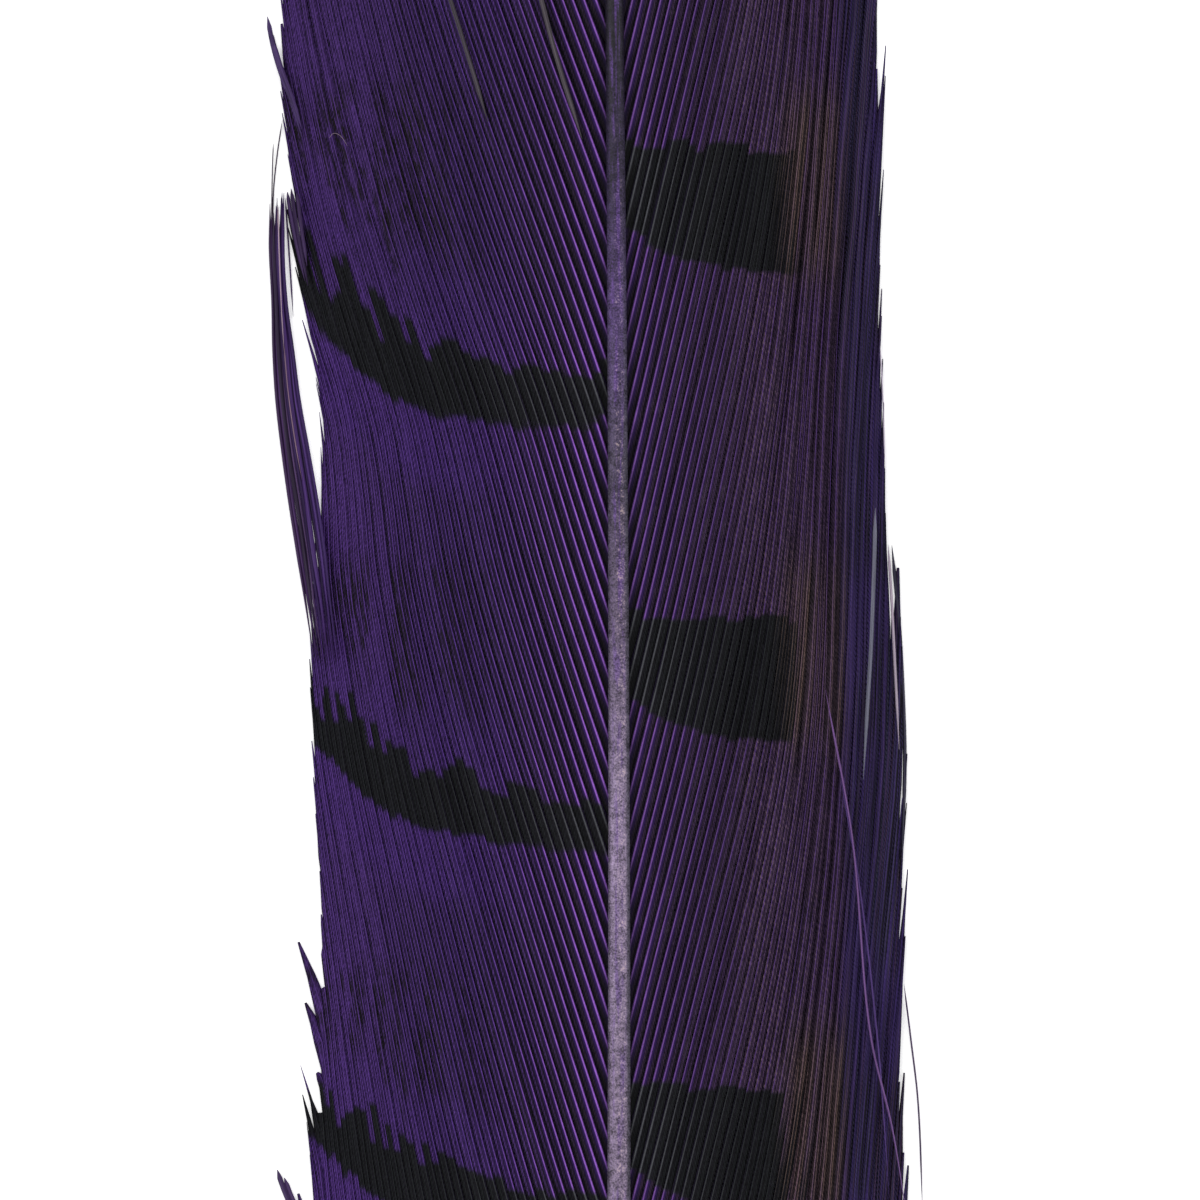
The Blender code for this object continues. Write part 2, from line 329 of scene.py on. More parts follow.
# Loose barbs: their lines in the picture, width and lift in mm, and tint as seen on a screen
LOOSE_STATIONS = 60
LOOSE_BARBS = (
    (((286, 190), (290, 215), (296, 245), (304, 280)), 0.20, 0.12, (62, 44, 82)),
    (((290, 187), (294, 215), (300, 250), (307, 285)), 0.20, 0.14, (54, 38, 72)),
    (((296, 192), (300, 225), (306, 265)), 0.20, 0.16, (66, 48, 86)),
    (((284, 196), (287, 240), (290, 285), (292, 316)), 0.09, 0.12, (64, 46, 84)),
    (((266, 14), (272, 45), (281, 75), (291, 100), (301, 136)), 0.24, 0.12, (66, 48, 94)),
    (((268, 26), (275, 52), (285, 82), (297, 116)), 0.26, 0.14, (56, 40, 80)),
    (((272, 40), (280, 66), (290, 94), (301, 128)), 0.24, 0.16, (72, 52, 100)),
    (((281, 118), (276, 152), (272, 192), (272, 260)), 0.07, 0.10, (60, 48, 66)),
    (((272, 140), (271, 170), (270, 230)), 0.06, 0.12, (60, 48, 66)),
    (((276, 1172), (280, 1185), (292, 1215), (310, 1260)), 0.26, 0.12, (60, 44, 80)),
    (((283, 1180), (288, 1194), (300, 1222), (316, 1262)), 0.26, 0.14, (70, 50, 92)),
    (((893, 545), (900, 620), (904, 690), (906, 760), (903, 860)), 0.20, 0.16, (50, 48, 64)),
    (((826, 690), (853, 840), (872, 1040), (893, 1130), (908, 1220)), 0.11, 0.34, (116, 84, 138)),
    (((840, 770), (862, 900), (880, 1060), (890, 1200)), 0.09, 0.32, (84, 62, 120)),
    (((905, 985), (912, 1040), (919, 1100), (924, 1215)), 0.09, 0.10, (64, 48, 78)),
    # Painted light: the next five pale and grey strands stand for the floor seen through gaps
    # between barbs, greyer where the floor lies in shade
    (((876, 508), (875, 560), (872, 640), (868, 710), (864, 780)), 0.20, 0.36, (108, 108, 124)),
    (((889, 545), (893, 610), (896, 670), (900, 750)), 0.14, 0.30, (160, 146, 162)),
    (((881, 345), (884, 400), (886, 470)), 0.07, 0.30, (190, 180, 196)),
    (((277, 204), (278, 250), (280, 300), (283, 350)), 0.08, 0.40, (188, 164, 178)),
    (((283, 345), (287, 390), (294, 440), (301, 480)), 0.06, 0.40, (150, 122, 142)),
    (((328, 137), (333, 132), (339, 134), (347, 145)), 0.03, 0.25, (140, 122, 134)),
    (((536, -20), (556, 56), (582, 140)), 0.24, 0.22, (74, 68, 74)),
    (((444, -20), (468, 56), (488, 122)), 0.22, 0.22, (70, 64, 72)),
)

# The loose lock on the left: its two edges in the picture, row by row, and its barbs' tints
LOOSE_LOCK = (
    (188, 268, 284), (250, 269, 283), (300, 271, 286), (350, 272, 293), (400, 275, 299),
    (450, 280, 309), (500, 286, 318), (550, 294, 325), (600, 302, 331), (660, 312, 338),
)
LOOSE_LOCK_TINTS = (
    (60, 39, 76), (76, 50, 98), (40, 28, 52), (90, 66, 110), (50, 33, 74), (68, 43, 100),
    (44, 29, 66), (78, 52, 114), (58, 38, 88),
)
LOOSE_RIDGE = 0.5
LOOSE_LOCK_WIDTH = 0.21
LOOSE_LOCK_LIFT = 0.1

# Down
DOWN_RUN = 52 * MM
DOWN_REACH = 15 * MM
DOWN_FIBRES = 14
DOWN_FIBRE = 3.4 * MM
DOWN_STATIONS = 10
DOWN_SECTION = 4
DOWN_TAPER = 0.6
DOWN_JOINTS = 8
DOWN_SEED = 5
DOWN_LEAN = (28, 62)
DOWN_CURL = (-0.5, 0.9)
DOWN_RISE = (0.1, 0.8)
DOWN_BASE = 0.5 * MM
DOWN_LOWEST = 0.15 * MM
DOWN_FIBRE_TURN = (25, 60)
DOWN_FIBRE_RISE = (-0.12, 0.2)
DOWN_FIBRE_LOWEST = 0.1 * MM
DOWN_THICKNESS = 0.014 * MM
DOWN_BARB_WIDTH = 0.09 * MM
DOWN_FIBRE_WIDTH = 0.04 * MM

# The dyed feather's colours, as seen on a screen
COLOURS = (
    ("web_dark", "Left web close to the shaft", (23, 16, 29)),
    ("web_violet", "Left web half way out", (41, 25, 62)),
    ("web_outer", "Left web near the edge", (62, 38, 94)),
    ("web_bright", "Clear violet below a bar", (58, 33, 96)),
    ("web_fleck", "Brown-black flecks on the webs", (28, 22, 28)),
    ("ramus_near", "Left rib close to the shaft", (134, 86, 178)),
    ("ramus_middle", "Left rib half way out", (86, 55, 134)),
    ("thread_near", "Thin line between two ribs, by the shaft", (62, 44, 74)),
    ("thread", "Thin line between two ribs, further out", (92, 60, 136)),
    ("right_thread", "Thin line between two right ribs", (74, 52, 92)),
    ("halo", "Deep dye beside a rib", (48, 23, 88)),
    # Painted shadow: the dark line where the next barb's web tucks under a rib
    ("line", "Dark line on a rib's inner side", (22, 9, 40)),
    ("bar_black", "The black cross bars", (20, 19, 25)),
    ("bar_ramus", "Rib in a bar, by the shaft", (68, 69, 74)),
    ("bar_ramus_far", "Rib in a bar, further out", (34, 37, 39)),
    ("right_web_near", "Right web close to the shaft", (31, 23, 36)),
    ("right_web_middle", "Right web half way out", (47, 34, 54)),
    ("right_mottle", "Paler mottles on the right webs", (54, 46, 52)),
    ("right_ramus_near", "Right rib close to the shaft", (104, 68, 138)),
    ("right_ramus_far", "Right rib further out", (80, 54, 114)),
    ("rope_gap", "Gaps between the twisted strokes", (46, 31, 54)),
    ("rope_stroke", "Twisted strokes of the right outer webs", (128, 104, 112)),
    ("brown_base", "Brown zone beside the right bars", (46, 36, 36)),
    ("brown_stroke", "Strokes of the brown zone", (112, 90, 82)),
    ("fringe_black", "Black strands of the right edge", (26, 21, 32)),
    ("fringe_navy", "Navy strands of the right edge", (38, 33, 66)),
    ("fringe_violet", "Violet strands of the right edge", (57, 41, 94)),
    ("fringe_mauve", "Mauve strands of the right edge", (66, 49, 74)),
    ("fringe_slate", "Slate strands of the right edge", (52, 50, 70)),
    ("quill", "Bare quill", (176, 166, 172)),
    ("shaft_grey", "Greyer stretch of the shaft", (120, 105, 129)),
    ("shaft_pale", "Shaft lower down", (133, 117, 144)),
    ("shaft_middle", "Shaft half way up", (90, 77, 101)),
    ("shaft_slate", "Shaft higher up", (71, 62, 84)),
    ("shaft_violet", "Dyed stretch of the shaft", (78, 59, 104)),
    ("shaft_dark", "Dark stretch of the shaft", (46, 36, 63)),
    ("shaft_black", "Shaft towards the tip", (30, 26, 37)),
    ("shaft_dye", "Purple streaks along the shaft", (92, 60, 132)),
    # Painted shade: the darker, greyer sides of the rounded shaft
    ("shaft_rim", "Greyer sides of the shaft", (72, 69, 80)),
    ("shaft_cream", "Cream specks on the shaft", (190, 168, 158)),
    ("down_pale", "Paler down at the foot", (120, 108, 132)),
    ("down_dyed", "Dyed down at the foot", (74, 54, 104)),
    ("floor", "The pale floor", (250, 250, 250)),
)

# Stage: floor, light and camera
FLOOR_SIZE = 3.0
FLOOR_GLOW = 0.35
WORLD_STRENGTH = 0.62
SOFTBOXES = (
    ("softbox_left", (-0.75, 0.1, 0.85), 0.9, 4.6),
    ("softbox_right", (0.8, 0.35, 0.8), 0.9, 3.6),
    ("softbox_far", (0.1, 1.0, 0.7), 0.8, 2.0),
)
LENS = 200.0
SENSOR = 36.0
FOCUS_HEIGHT = 1.5 * MM


def place(column, row):
    """Where a pixel of the picture lies on the surface."""
    half = FRAME_PIXELS / 2
    return (
        FRAME_MIDDLE[0] + (column - half) / PIXELS_PER_MM * MM,
        FRAME_MIDDLE[1] + (half - row) / PIXELS_PER_MM * MM,
    )


def sum_of(operation, swapped=False):
    """A method of Wire that works two values out into one."""
    def method(self, other):
        pair = (other, self) if swapped else (self, other)
        return self.board.math(operation, *pair)
    return method


class Wire:
    """A value on a node tree, so that sums with it read as plain arithmetic."""

    def __init__(self, board, socket):
        self.board = board
        self.socket = socket

    __add__ = __radd__ = sum_of("ADD")
    __mul__ = __rmul__ = sum_of("MULTIPLY")
    __sub__ = sum_of("SUBTRACT")
    __rsub__ = sum_of("SUBTRACT", swapped=True)
    __truediv__ = sum_of("DIVIDE")
    __rtruediv__ = sum_of("DIVIDE", swapped=True)
    __pow__ = sum_of("POWER")
    above = sum_of("GREATER_THAN")
    at_least = sum_of("MAXIMUM")
    at_most = sum_of("MINIMUM")

    def __abs__(self):
        return self.board.math("ABSOLUTE", self)

    def step(self, low, high):
        """A soft step from 0 at low to 1 at high."""
        node = self.board.add("ShaderNodeMapRange", interpolation_type="SMOOTHSTEP")
        return self.board.fed(node, Value=self, From_Min=low, From_Max=high)

    def band(self, low, high, soft):
        """1 between low and high, fading to 0 over the width soft on both sides."""
        return self.step(low - soft, low) * (1 - self.step(high, high + soft))


class Board:
    """Short calls for laying nodes on a shader or geometry tree."""

    def __init__(self, tree):
        self.tree = tree

    def add(self, kind, **settings):
        node = self.tree.nodes.new(kind)
        for name, value in settings.items():
            setattr(node, name, value)
        return node

    def feed(self, socket, value):
        """Link a socket to a wire, or set its value."""
        if isinstance(value, Wire):
            self.tree.links.new(value.socket, socket)
        elif value is not None:
            socket.default_value = value

    def fed(self, node, *values, **named):
        """A node's first output, once its first sockets and its named ones are fed."""
        for socket, value in zip(node.inputs, values):
            self.feed(socket, value)
        for name, value in named.items():
            self.feed(node.inputs[name.replace("_", " ")], value)
        return Wire(self, node.outputs[0])

    def wires(self, sockets):
        return {socket.name: Wire(self, socket) for socket in sockets}

    def math(self, operation, *values):
        return self.fed(self.add("ShaderNodeMath", operation=operation), *values)

    def vector(self, operation, *values, **named):
        return self.fed(self.add("ShaderNodeVectorMath", operation=operation), *values, **named)

    def colour(self, factor, a, b):
        """The colour a turned into b by the factor."""
        node = self.add("ShaderNodeMix", data_type="RGBA")
        for place, value in ((0, factor), (6, a), (7, b)):
            self.feed(node.inputs[place], value)
        return Wire(self, node.outputs[2])

    def scaled(self, colour, factor):
        """A colour made lighter or darker by a factor."""
        if not isinstance(colour, Wire):
            colour = tuple(colour)[:3]
        return self.vector("SCALE", colour, Scale=factor)

    def trait(self, name, output="Fac"):
        """A value that the mesh carries at its points."""
        return self.wires(self.add("ShaderNodeAttribute", attribute_name=name).outputs)[output]

    def join(self, x, y, z=0.0):
        return self.fed(self.add("ShaderNodeCombineXYZ"), x, y, z)

    def noise(self, place, scale=1.0, detail=2.0, roughness=0.5):
        """Soft noise at a place, which can be given as its two or three numbers."""
        place = self.join(*place) if isinstance(place, tuple) else place
        node = self.add("ShaderNodeTexNoise", noise_dimensions="3D")
        return self.fed(node, Vector=place, Scale=scale, Detail=detail, Roughness=roughness)

    def scatter(self, value):
        """A random number from 0 to 1 for each whole value."""
        return self.fed(self.add("ShaderNodeTexWhiteNoise", noise_dimensions="1D"), W=value)

    def object_mm(self):
        """The place on the feather, in millimetres."""
        coordinates = self.wires(self.add("ShaderNodeTexCoord").outputs)["Object"]
        return self.vector("SCALE", coordinates, Scale=1 / MM)

    def axis(self, vector, name):
        node = self.add("ShaderNodeSeparateXYZ")
        self.feed(node.inputs[0], vector)
        return self.wires(node.outputs)[name]

    def ramp(self, factor, stops, interpolation="LINEAR"):
        """A colour by a factor, from (place, colour) stops."""
        node = self.add("ShaderNodeValToRGB")
        node.color_ramp.interpolation = interpolation
        elements = node.color_ramp.elements
        while len(elements) < len(stops):
            elements.new(1.0)
        for element, (position, shade) in zip(elements, stops):
            element.position = position
            element.color = shade
        return self.fed(node, factor)

    def group(self, make, **values):
        """The outputs of a shader group, its inputs given by name."""
        node = self.add("ShaderNodeGroup", node_tree=built(make))
        self.fed(node, **{name.capitalize(): value for name, value in values.items()})
        return self.wires(node.outputs)

    def give(self, **outputs):
        """Feed the group's outputs, and return its tree."""
        for name, value in outputs.items():
            self.feed(self.leave.inputs[name], value)
        return self.tree

    def paint(self, colour, relief=None, strength=0.0):
        """Feed the material's colour and its fine relief, and return the material."""
        self.feed(self.shader.inputs["Base Color"], colour)
        if relief:
            bump = self.add("ShaderNodeBump")
            bump = self.fed(bump, Height=relief, Distance=RELIEF, Strength=strength)
            self.feed(self.shader.inputs["Normal"], bump)
        return self.material

    def named(self, name, kind="FLOAT"):
        """Geometry Nodes: a value that the mesh carries at its points."""
        node = self.add("GeometryNodeInputNamedAttribute", data_type=kind)
        node.inputs["Name"].default_value = name
        return Wire(self, self.live(node.outputs, "Attribute"))

    def store(self, geometry, name, value, kind="FLOAT"):
        """Geometry Nodes: keep a value at the mesh's points."""
        node = self.add("GeometryNodeStoreNamedAttribute", data_type=kind, domain="POINT")
        self.feed(self.live(node.inputs, "Value"), value)
        return self.fed(node, geometry, Name=name)

    def live(self, sockets, name):
        """The socket of this name that the node's type has switched on."""
        return next(s for s in sockets if s.name == name and s.enabled)

    def through(self, kind, geometry, **named):
        """Geometry Nodes: what a node makes of a geometry."""
        return self.fed(self.add(kind), geometry, **named)


def built(make):
    """The node group of a function's name, made by it when it is first asked for."""
    return bpy.data.node_groups.get(make.__name__) or make()


def new_group(name, kind, inputs, outputs):
    """An empty node group with the named sockets, its board, and its inputs by name."""
    tree = bpy.data.node_groups.new(name, kind)
    for way, sockets in (("INPUT", inputs), ("OUTPUT", outputs)):
        for socket, socket_kind in sockets.items():
            tree.interface.new_socket(socket, in_out=way, socket_type="NodeSocket" + socket_kind)
    board = Board(tree)
    given = board.wires(board.add("NodeGroupInput").outputs)
    board.leave = board.add("NodeGroupOutput")
    return board, given


def shader_group(name, inputs, outputs):
    """An empty shader group whose sockets are all numbers."""
    return new_group(name, "ShaderNodeTree", dict.fromkeys(inputs, "Float"), dict.fromkeys(
        outputs, "Float"))


def barbule_hatch():
    """Fine slanting barbules on a web: regular strokes, and uneven fibres drawn out along them."""
    inputs = ("Along", "Offset", "Barb", "Period", "Slant")
    board, given = shader_group("barbule_hatch", inputs, ("Stroke", "Fibre"))
    along, offset, barb, period, slant = (given[name] for name in inputs)
    wander = board.noise((along, barb), 0.8, 1.0)
    turns = (wander * 0.6 + (along - offset * slant)) / period
    wave = board.math("SINE", turns * (2 * math.pi))
    fibre = board.noise((turns * 1.3, offset * 2.2, barb * 7.3), roughness=0.7)
    return board.give(Stroke=wave * 0.5 + 0.5, Fibre=fibre)


def web_blotches():
    """Blotches drawn out along the barbs, each a barb or two wide."""
    inputs = ("Along", "Barb", "Length", "Width", "Cover", "Seed")
    board, given = shader_group("web_blotches", inputs, ("Mask",))
    along, barb, long, wide, cover, seed = (given[name] for name in inputs)
    edge = 0.72 - cover * 0.34
    spots = board.noise((along / long, barb / wide, seed), roughness=0.6)
    return board.give(Mask=spots.step(edge, edge + 0.09))


def cross_bars():
    """One side's dark bars, as a mask over the place along and beside the shaft, all in mm."""
    inputs = (
        "Y", "Lateral", "Root", "Barb", "First", "Pitch", "Warp", "Slope", "Bend", "Bend from",
        "Drop", "Drop run", "Height", "Top slope", "Start", "Uneven", "Ragged", "Jitter", "Cut",
        "Soft", "Stretch",
    )
    outputs = ("Mask", "Rise", "Below", "Above")
    board, given = shader_group("cross_bars", inputs, outputs)
    y, lateral, root, barb, first, pitch = (given[name] for name in inputs[:6])
    ragged, jitter, soft = given["Ragged"], given["Jitter"], given["Soft"]
    y = y - (y - BAR_STRETCH_FROM).at_least(0.0) * given["Stretch"]
    steps_off = ((y - first) / pitch).at_most(1.2).at_least(-1.2)
    y = y - steps_off * steps_off * given["Warp"]
    turns = (y - first + BAR_LEAD) / pitch
    number = board.math("FLOOR", turns)
    rise = board.math("FRACT", turns) * pitch - BAR_LEAD
    own = board.scatter(barb) - 0.5
    other = board.scatter(barb + 57.0) - 0.5

    past = (lateral - given["Bend from"]).at_least(0.0)
    foot = board.math("EXPONENT", lateral / -BAR_FOOT_RUN)
    foot = foot * given["Start"] * number.at_most(1.0).at_least(0.0)
    curve = past * past * given["Bend"] + foot
    fade = board.math("EXPONENT", lateral / (given["Drop run"] * -1.0))
    uneven = board.noise((root, number, 4.0), 0.3, roughness=0.6) - 0.5
    bottom = lateral * given["Slope"] + curve - given["Drop"] * (1 - fade)
    bottom = bottom + own * jitter + uneven * given["Uneven"]

    off_ridge = abs(board.noise((root, number, 17.0), 0.17, 3.0, 0.6) - 0.5)
    spikes = (off_ridge * -12.0 + 1.0).at_least(0.0) * lateral.step(4.5, 11.5)
    outermost = lateral.step(12.4, 15.0)
    top = lateral * given["Top slope"] + given["Height"] + curve
    top = top + (spikes - outermost * 0.55) * ragged + other * jitter * 1.8

    mask = (rise - bottom).step(0.0, soft) * (top - rise).step(0.0, soft)
    mask = mask * (own * 1.5 + given["Cut"] - lateral).step(-0.25, 0.25)
    return board.give(Mask=mask, Rise=rise, Below=bottom - rise, Above=rise - top)


def fine_speckle():
    """Grains and pits of two sizes, around 0."""
    board, given = shader_group("fine_speckle", ("Grain",), ("Speckle",))
    spot = board.vector("SCALE", board.object_mm(), Scale=1 / given["Grain"])
    wide = board.noise(spot, 0.23, roughness=0.6) - 0.5
    return board.give(Speckle=board.noise(spot, roughness=0.7) - 0.5 + wide * 0.6)


def start_sweep(name, **inputs):
    """Geometry Nodes: a ring carried along guide lines, and the ring's two axes at each point."""
    inputs = {"Geometry": "Geometry", "Section Points": "Int", **inputs, "Material": "Material"}
    board, given = new_group(name, "GeometryNodeTree", inputs, {"Geometry": "Geometry"})
    lines = board.through("GeometryNodeMeshToCurve", given["Geometry"])
    circle = board.add("GeometryNodeCurvePrimitiveCircle", mode="RADIUS")
    ring = board.fed(circle, given["Section Points"], Radius=1.0)
    spot = board.fed(board.add("GeometryNodeInputPosition"))
    ring = board.store(ring, "section", spot, "FLOAT_VECTOR")
    swept = board.through("GeometryNodeCurveToMesh", lines, Profile_Curve=ring, Fill_Caps=True)
    section = board.named("section", "FLOAT_VECTOR")
    return board, given, swept, board.axis(section, "X"), board.axis(section, "Y")


def place_sweep(board, swept, sideways, height):
    """Geometry Nodes: the swept points put beside and above their guide line."""
    side = board.vector("CROSS_PRODUCT", board.named("heading", "FLOAT_VECTOR"), (0.0, 0.0, 1.0))
    moved = board.vector("SCALE", side, Scale=sideways)
    for more in (board.named("rail", "FLOAT_VECTOR"), board.join(0.0, 0.0, height)):
        moved = board.vector("ADD", moved, more)
    return board.through("GeometryNodeSetPosition", swept, Position=moved)


def finish_sweep(board, geometry, spent, material):
    """Geometry Nodes: drop spent values, shade smooth, realize and paint."""
    for name in ("section", "rail", "heading", *spent):
        geometry = board.through("GeometryNodeRemoveAttribute", geometry, Name=name)
    geometry = board.through("GeometryNodeSetShadeSmooth", geometry)
    geometry = board.through("GeometryNodeRealizeInstances", geometry)
    return board.give(Geometry=board.through("GeometryNodeSetMaterial", geometry, Material=material))


def barb_sweep():
    """Geometry Nodes: a closed barb, a ridged ramus between two thin webs, along each guide line."""
    board, given, swept, across, up = start_sweep(
        "barb_sweep", Thickness="Float", Ridge="Float", Tilt="Float", Side="Float")
    ramus = board.named("ramus")
    on_ramus = across * ramus
    on_web = board.math("SIGN", across) * board.named("web")
    offset = abs(across).above(WEB_EDGE_FROM) * (on_web - on_ramus) + on_ramus
    crest = up.at_least(0.0) ** 3.0 * ramus * given["Ridge"]
    lean = given["Tilt"] + board.named("slope")
    height = offset * lean + (up * given["Thickness"] + crest)
    geometry = place_sweep(board, swept, offset * given["Side"], height)
    geometry = board.store(geometry, "core", offset / ramus)
    geometry = board.store(geometry, "offset", offset / MM)
    inside_out = given["Side"].above(0.0)
    geometry = board.through("GeometryNodeFlipFaces", geometry, Selection=inside_out)
    return finish_sweep(board, geometry, ("web", "ramus", "slope"), given["Material"])


def shaft_sweep():
    """Geometry Nodes: the shaft's rounded section carried along its line."""
    board, given, swept, *axes = start_sweep("shaft_sweep", Roundness="Float")
    across, up = (board.math("SIGN", axis) * abs(axis) ** given["Roundness"] for axis in axes)
    girth = board.named("girth")
    geometry = place_sweep(board, swept, across * girth, up * girth)
    geometry = board.through("GeometryNodeFlipFaces", board.store(geometry, "around", across))
    return finish_sweep(board, geometry, ("girth",), given["Material"])


def guide_mesh(name, tracks):
    """Lines of edges, one for each barb, with what the sweep and the shader read at each point."""
    rows, stations = tracks["root"].shape
    mesh = bpy.data.meshes.new(name)
    mesh.vertices.add(rows * stations)
    mesh.vertices.foreach_set("co", tracks["rail"].astype(np.float32).ravel())
    first = np.arange(rows * stations).reshape(rows, stations)[:, :-1].ravel()
    mesh.edges.add(len(first))
    mesh.edges.foreach_set("vertices", np.stack((first, first + 1), axis=1).astype(np.int32).ravel())
    for trait, values in tracks.items():
        if values.ndim == 3:
            layer = mesh.attributes.new(trait, "FLOAT_VECTOR", "POINT")
            layer.data.foreach_set("vector", values.astype(np.float32).ravel())
        else:
            layer = mesh.attributes.new(trait, "FLOAT", "POINT")
            layer.data.foreach_set("value", values.astype(np.float32).ravel())
    mesh.update()
    return mesh


def headings(rail):
    """Unit directions along each line, level with the surface."""
    steps = np.gradient(rail, axis=1)
    steps[..., 2] = 0.0
    return steps / np.linalg.norm(steps, axis=-1, keepdims=True)


def travelled(rail):
    """Distance from each line's start, in millimetres."""
    legs = np.linalg.norm(np.diff(rail, axis=1), axis=-1)
    return np.concatenate((np.zeros((len(rail), 1)), np.cumsum(legs, axis=1)), axis=1) / MM


def barb_tracks(vane, roots, pitch, stations, settings, seed):
    """Guide lines for barbs rooted at the given places along the shaft."""
    draw = np.random.default_rng(seed)
    count = len(roots)
    shortest, past_edge, taper, stack = EDGE_FORMS[vane.side]
    ends = 1 - (1 - shortest) * draw.random((count, 1)) ** 2.5
    v = ends * np.linspace(0, 1, stations)[None, :]
    root = np.repeat(roots[:, None], stations, axis=1)
    x, y, z, lateral = vane.points(root, v)
    past = past_edge * ease((v - 0.75) / 0.25)
    rail = np.stack((x + vane.side * past, y, z + BARB_LIFT), axis=-1)
    heading = headings(rail)
    spacing, slope = beside_barbs(vane, root, v, pitch, rail, heading)

    far = ease((v - 0.45) / 0.5)
    sway = np.zeros_like(v)
    along = travelled(rail)
    for wave, share in SWAY_WAVES:
        phase = draw.uniform(0, 2 * math.pi, (count, 1))
        sway += share * np.sin(2 * math.pi * along / wave + phase)
    reach = settings.wave_near + (settings.wave_edge - settings.wave_near) * far
    sway = sway * reach * ease(v * 8)
    rail[..., 0] += heading[..., 1] * sway
    rail[..., 1] -= heading[..., 0] * sway
    lateral = lateral + past + vane.side * heading[..., 1] * sway
    rail[..., 2] += stack * draw.uniform(0, 1, (count, 1)) * far

    tip = ease((ends - v) / (taper * ends))
    ramus = RAMUS_EDGE_SHARE + (1 - RAMUS_EDGE_SHARE) * np.exp(-v / RAMUS_TAPER_SHARE)
    ramus = settings.ramus_width / 2 * ramus * (RAMUS_TIP + (1 - RAMUS_TIP) * tip)
    fullness = settings.fringe_fullness if vane.side > 0 else settings.edge_fullness
    web = settings.web_overlap * spacing * (1 + (fullness - 1) * far)
    web = web * (WEB_TIP + (1 - WEB_TIP) * tip)
    web = web * (WEB_ROOT + (1 - WEB_ROOT) * ease(lateral / WEB_ROOT_RUN))
    number = np.round((roots - vane.first_root) / pitch)[:, None] + np.zeros_like(v)
    tone = draw.random((count, 1)) + np.zeros_like(v)
    return {
        "rail": rail, "heading": headings(rail), "web": np.maximum(web, ramus * 1.3),
        "ramus": ramus, "root": root / MM, "lateral": lateral / MM, "share": v,
        "along": travelled(rail), "barb": number, "tone": tone, "gap": spacing / MM, "slope": slope,
    }


def beside_barbs(vane, root, v, pitch, rail, heading):
    """Distance between neighbouring barbs, square to them, and the surface's rise shaftward."""
    before = vane.points(root - pitch / 2, v)
    after = vane.points(root + pitch / 2, v)
    east, north, rise = (after[k] - before[k] for k in range(3))
    gap = east * heading[..., 1] - north * heading[..., 0]
    least, most = (share * pitch * np.sin(vane.barb_angle(v)) for share in SPACING_RANGE)
    legs = np.gradient(rail, axis=1)
    climb = legs[..., 2] / np.hypot(legs[..., 0], legs[..., 1])
    ahead = east * heading[..., 0] + north * heading[..., 1]
    inward = np.where(np.abs(gap) < 0.1 * pitch, 0.1 * pitch, -vane.side * gap)
    slope = np.clip((rise - ahead * climb) / inward, -STEEPEST_LEAN, STEEPEST_LEAN)
    return np.clip(np.abs(gap), least, most), slope


def barb_roots(vane, pitch, seed):
    """Slightly uneven places of the barbs' roots, all along the shaft."""
    draw = np.random.default_rng(seed)
    count = int((vane.last_root - vane.first_root) / pitch)
    places = vane.first_root + pitch * (np.arange(count) + 0.5)
    return places + pitch * PITCH_JITTER * draw.uniform(-1, 1, count)


def new_material(name, roughness, specular):
    """A board for a material's nodes, with a dull Principled BSDF."""
    material = bpy.data.materials.new(name)
    material.use_nodes = True
    board = Board(material.node_tree)
    board.material = material
    board.shader = material.node_tree.nodes["Principled BSDF"]
    for socket, value in (
        ("Metallic", 0.0), ("Roughness", roughness), ("Specular IOR Level", specular),
    ):
        board.shader.inputs[socket].default_value = value
    return board


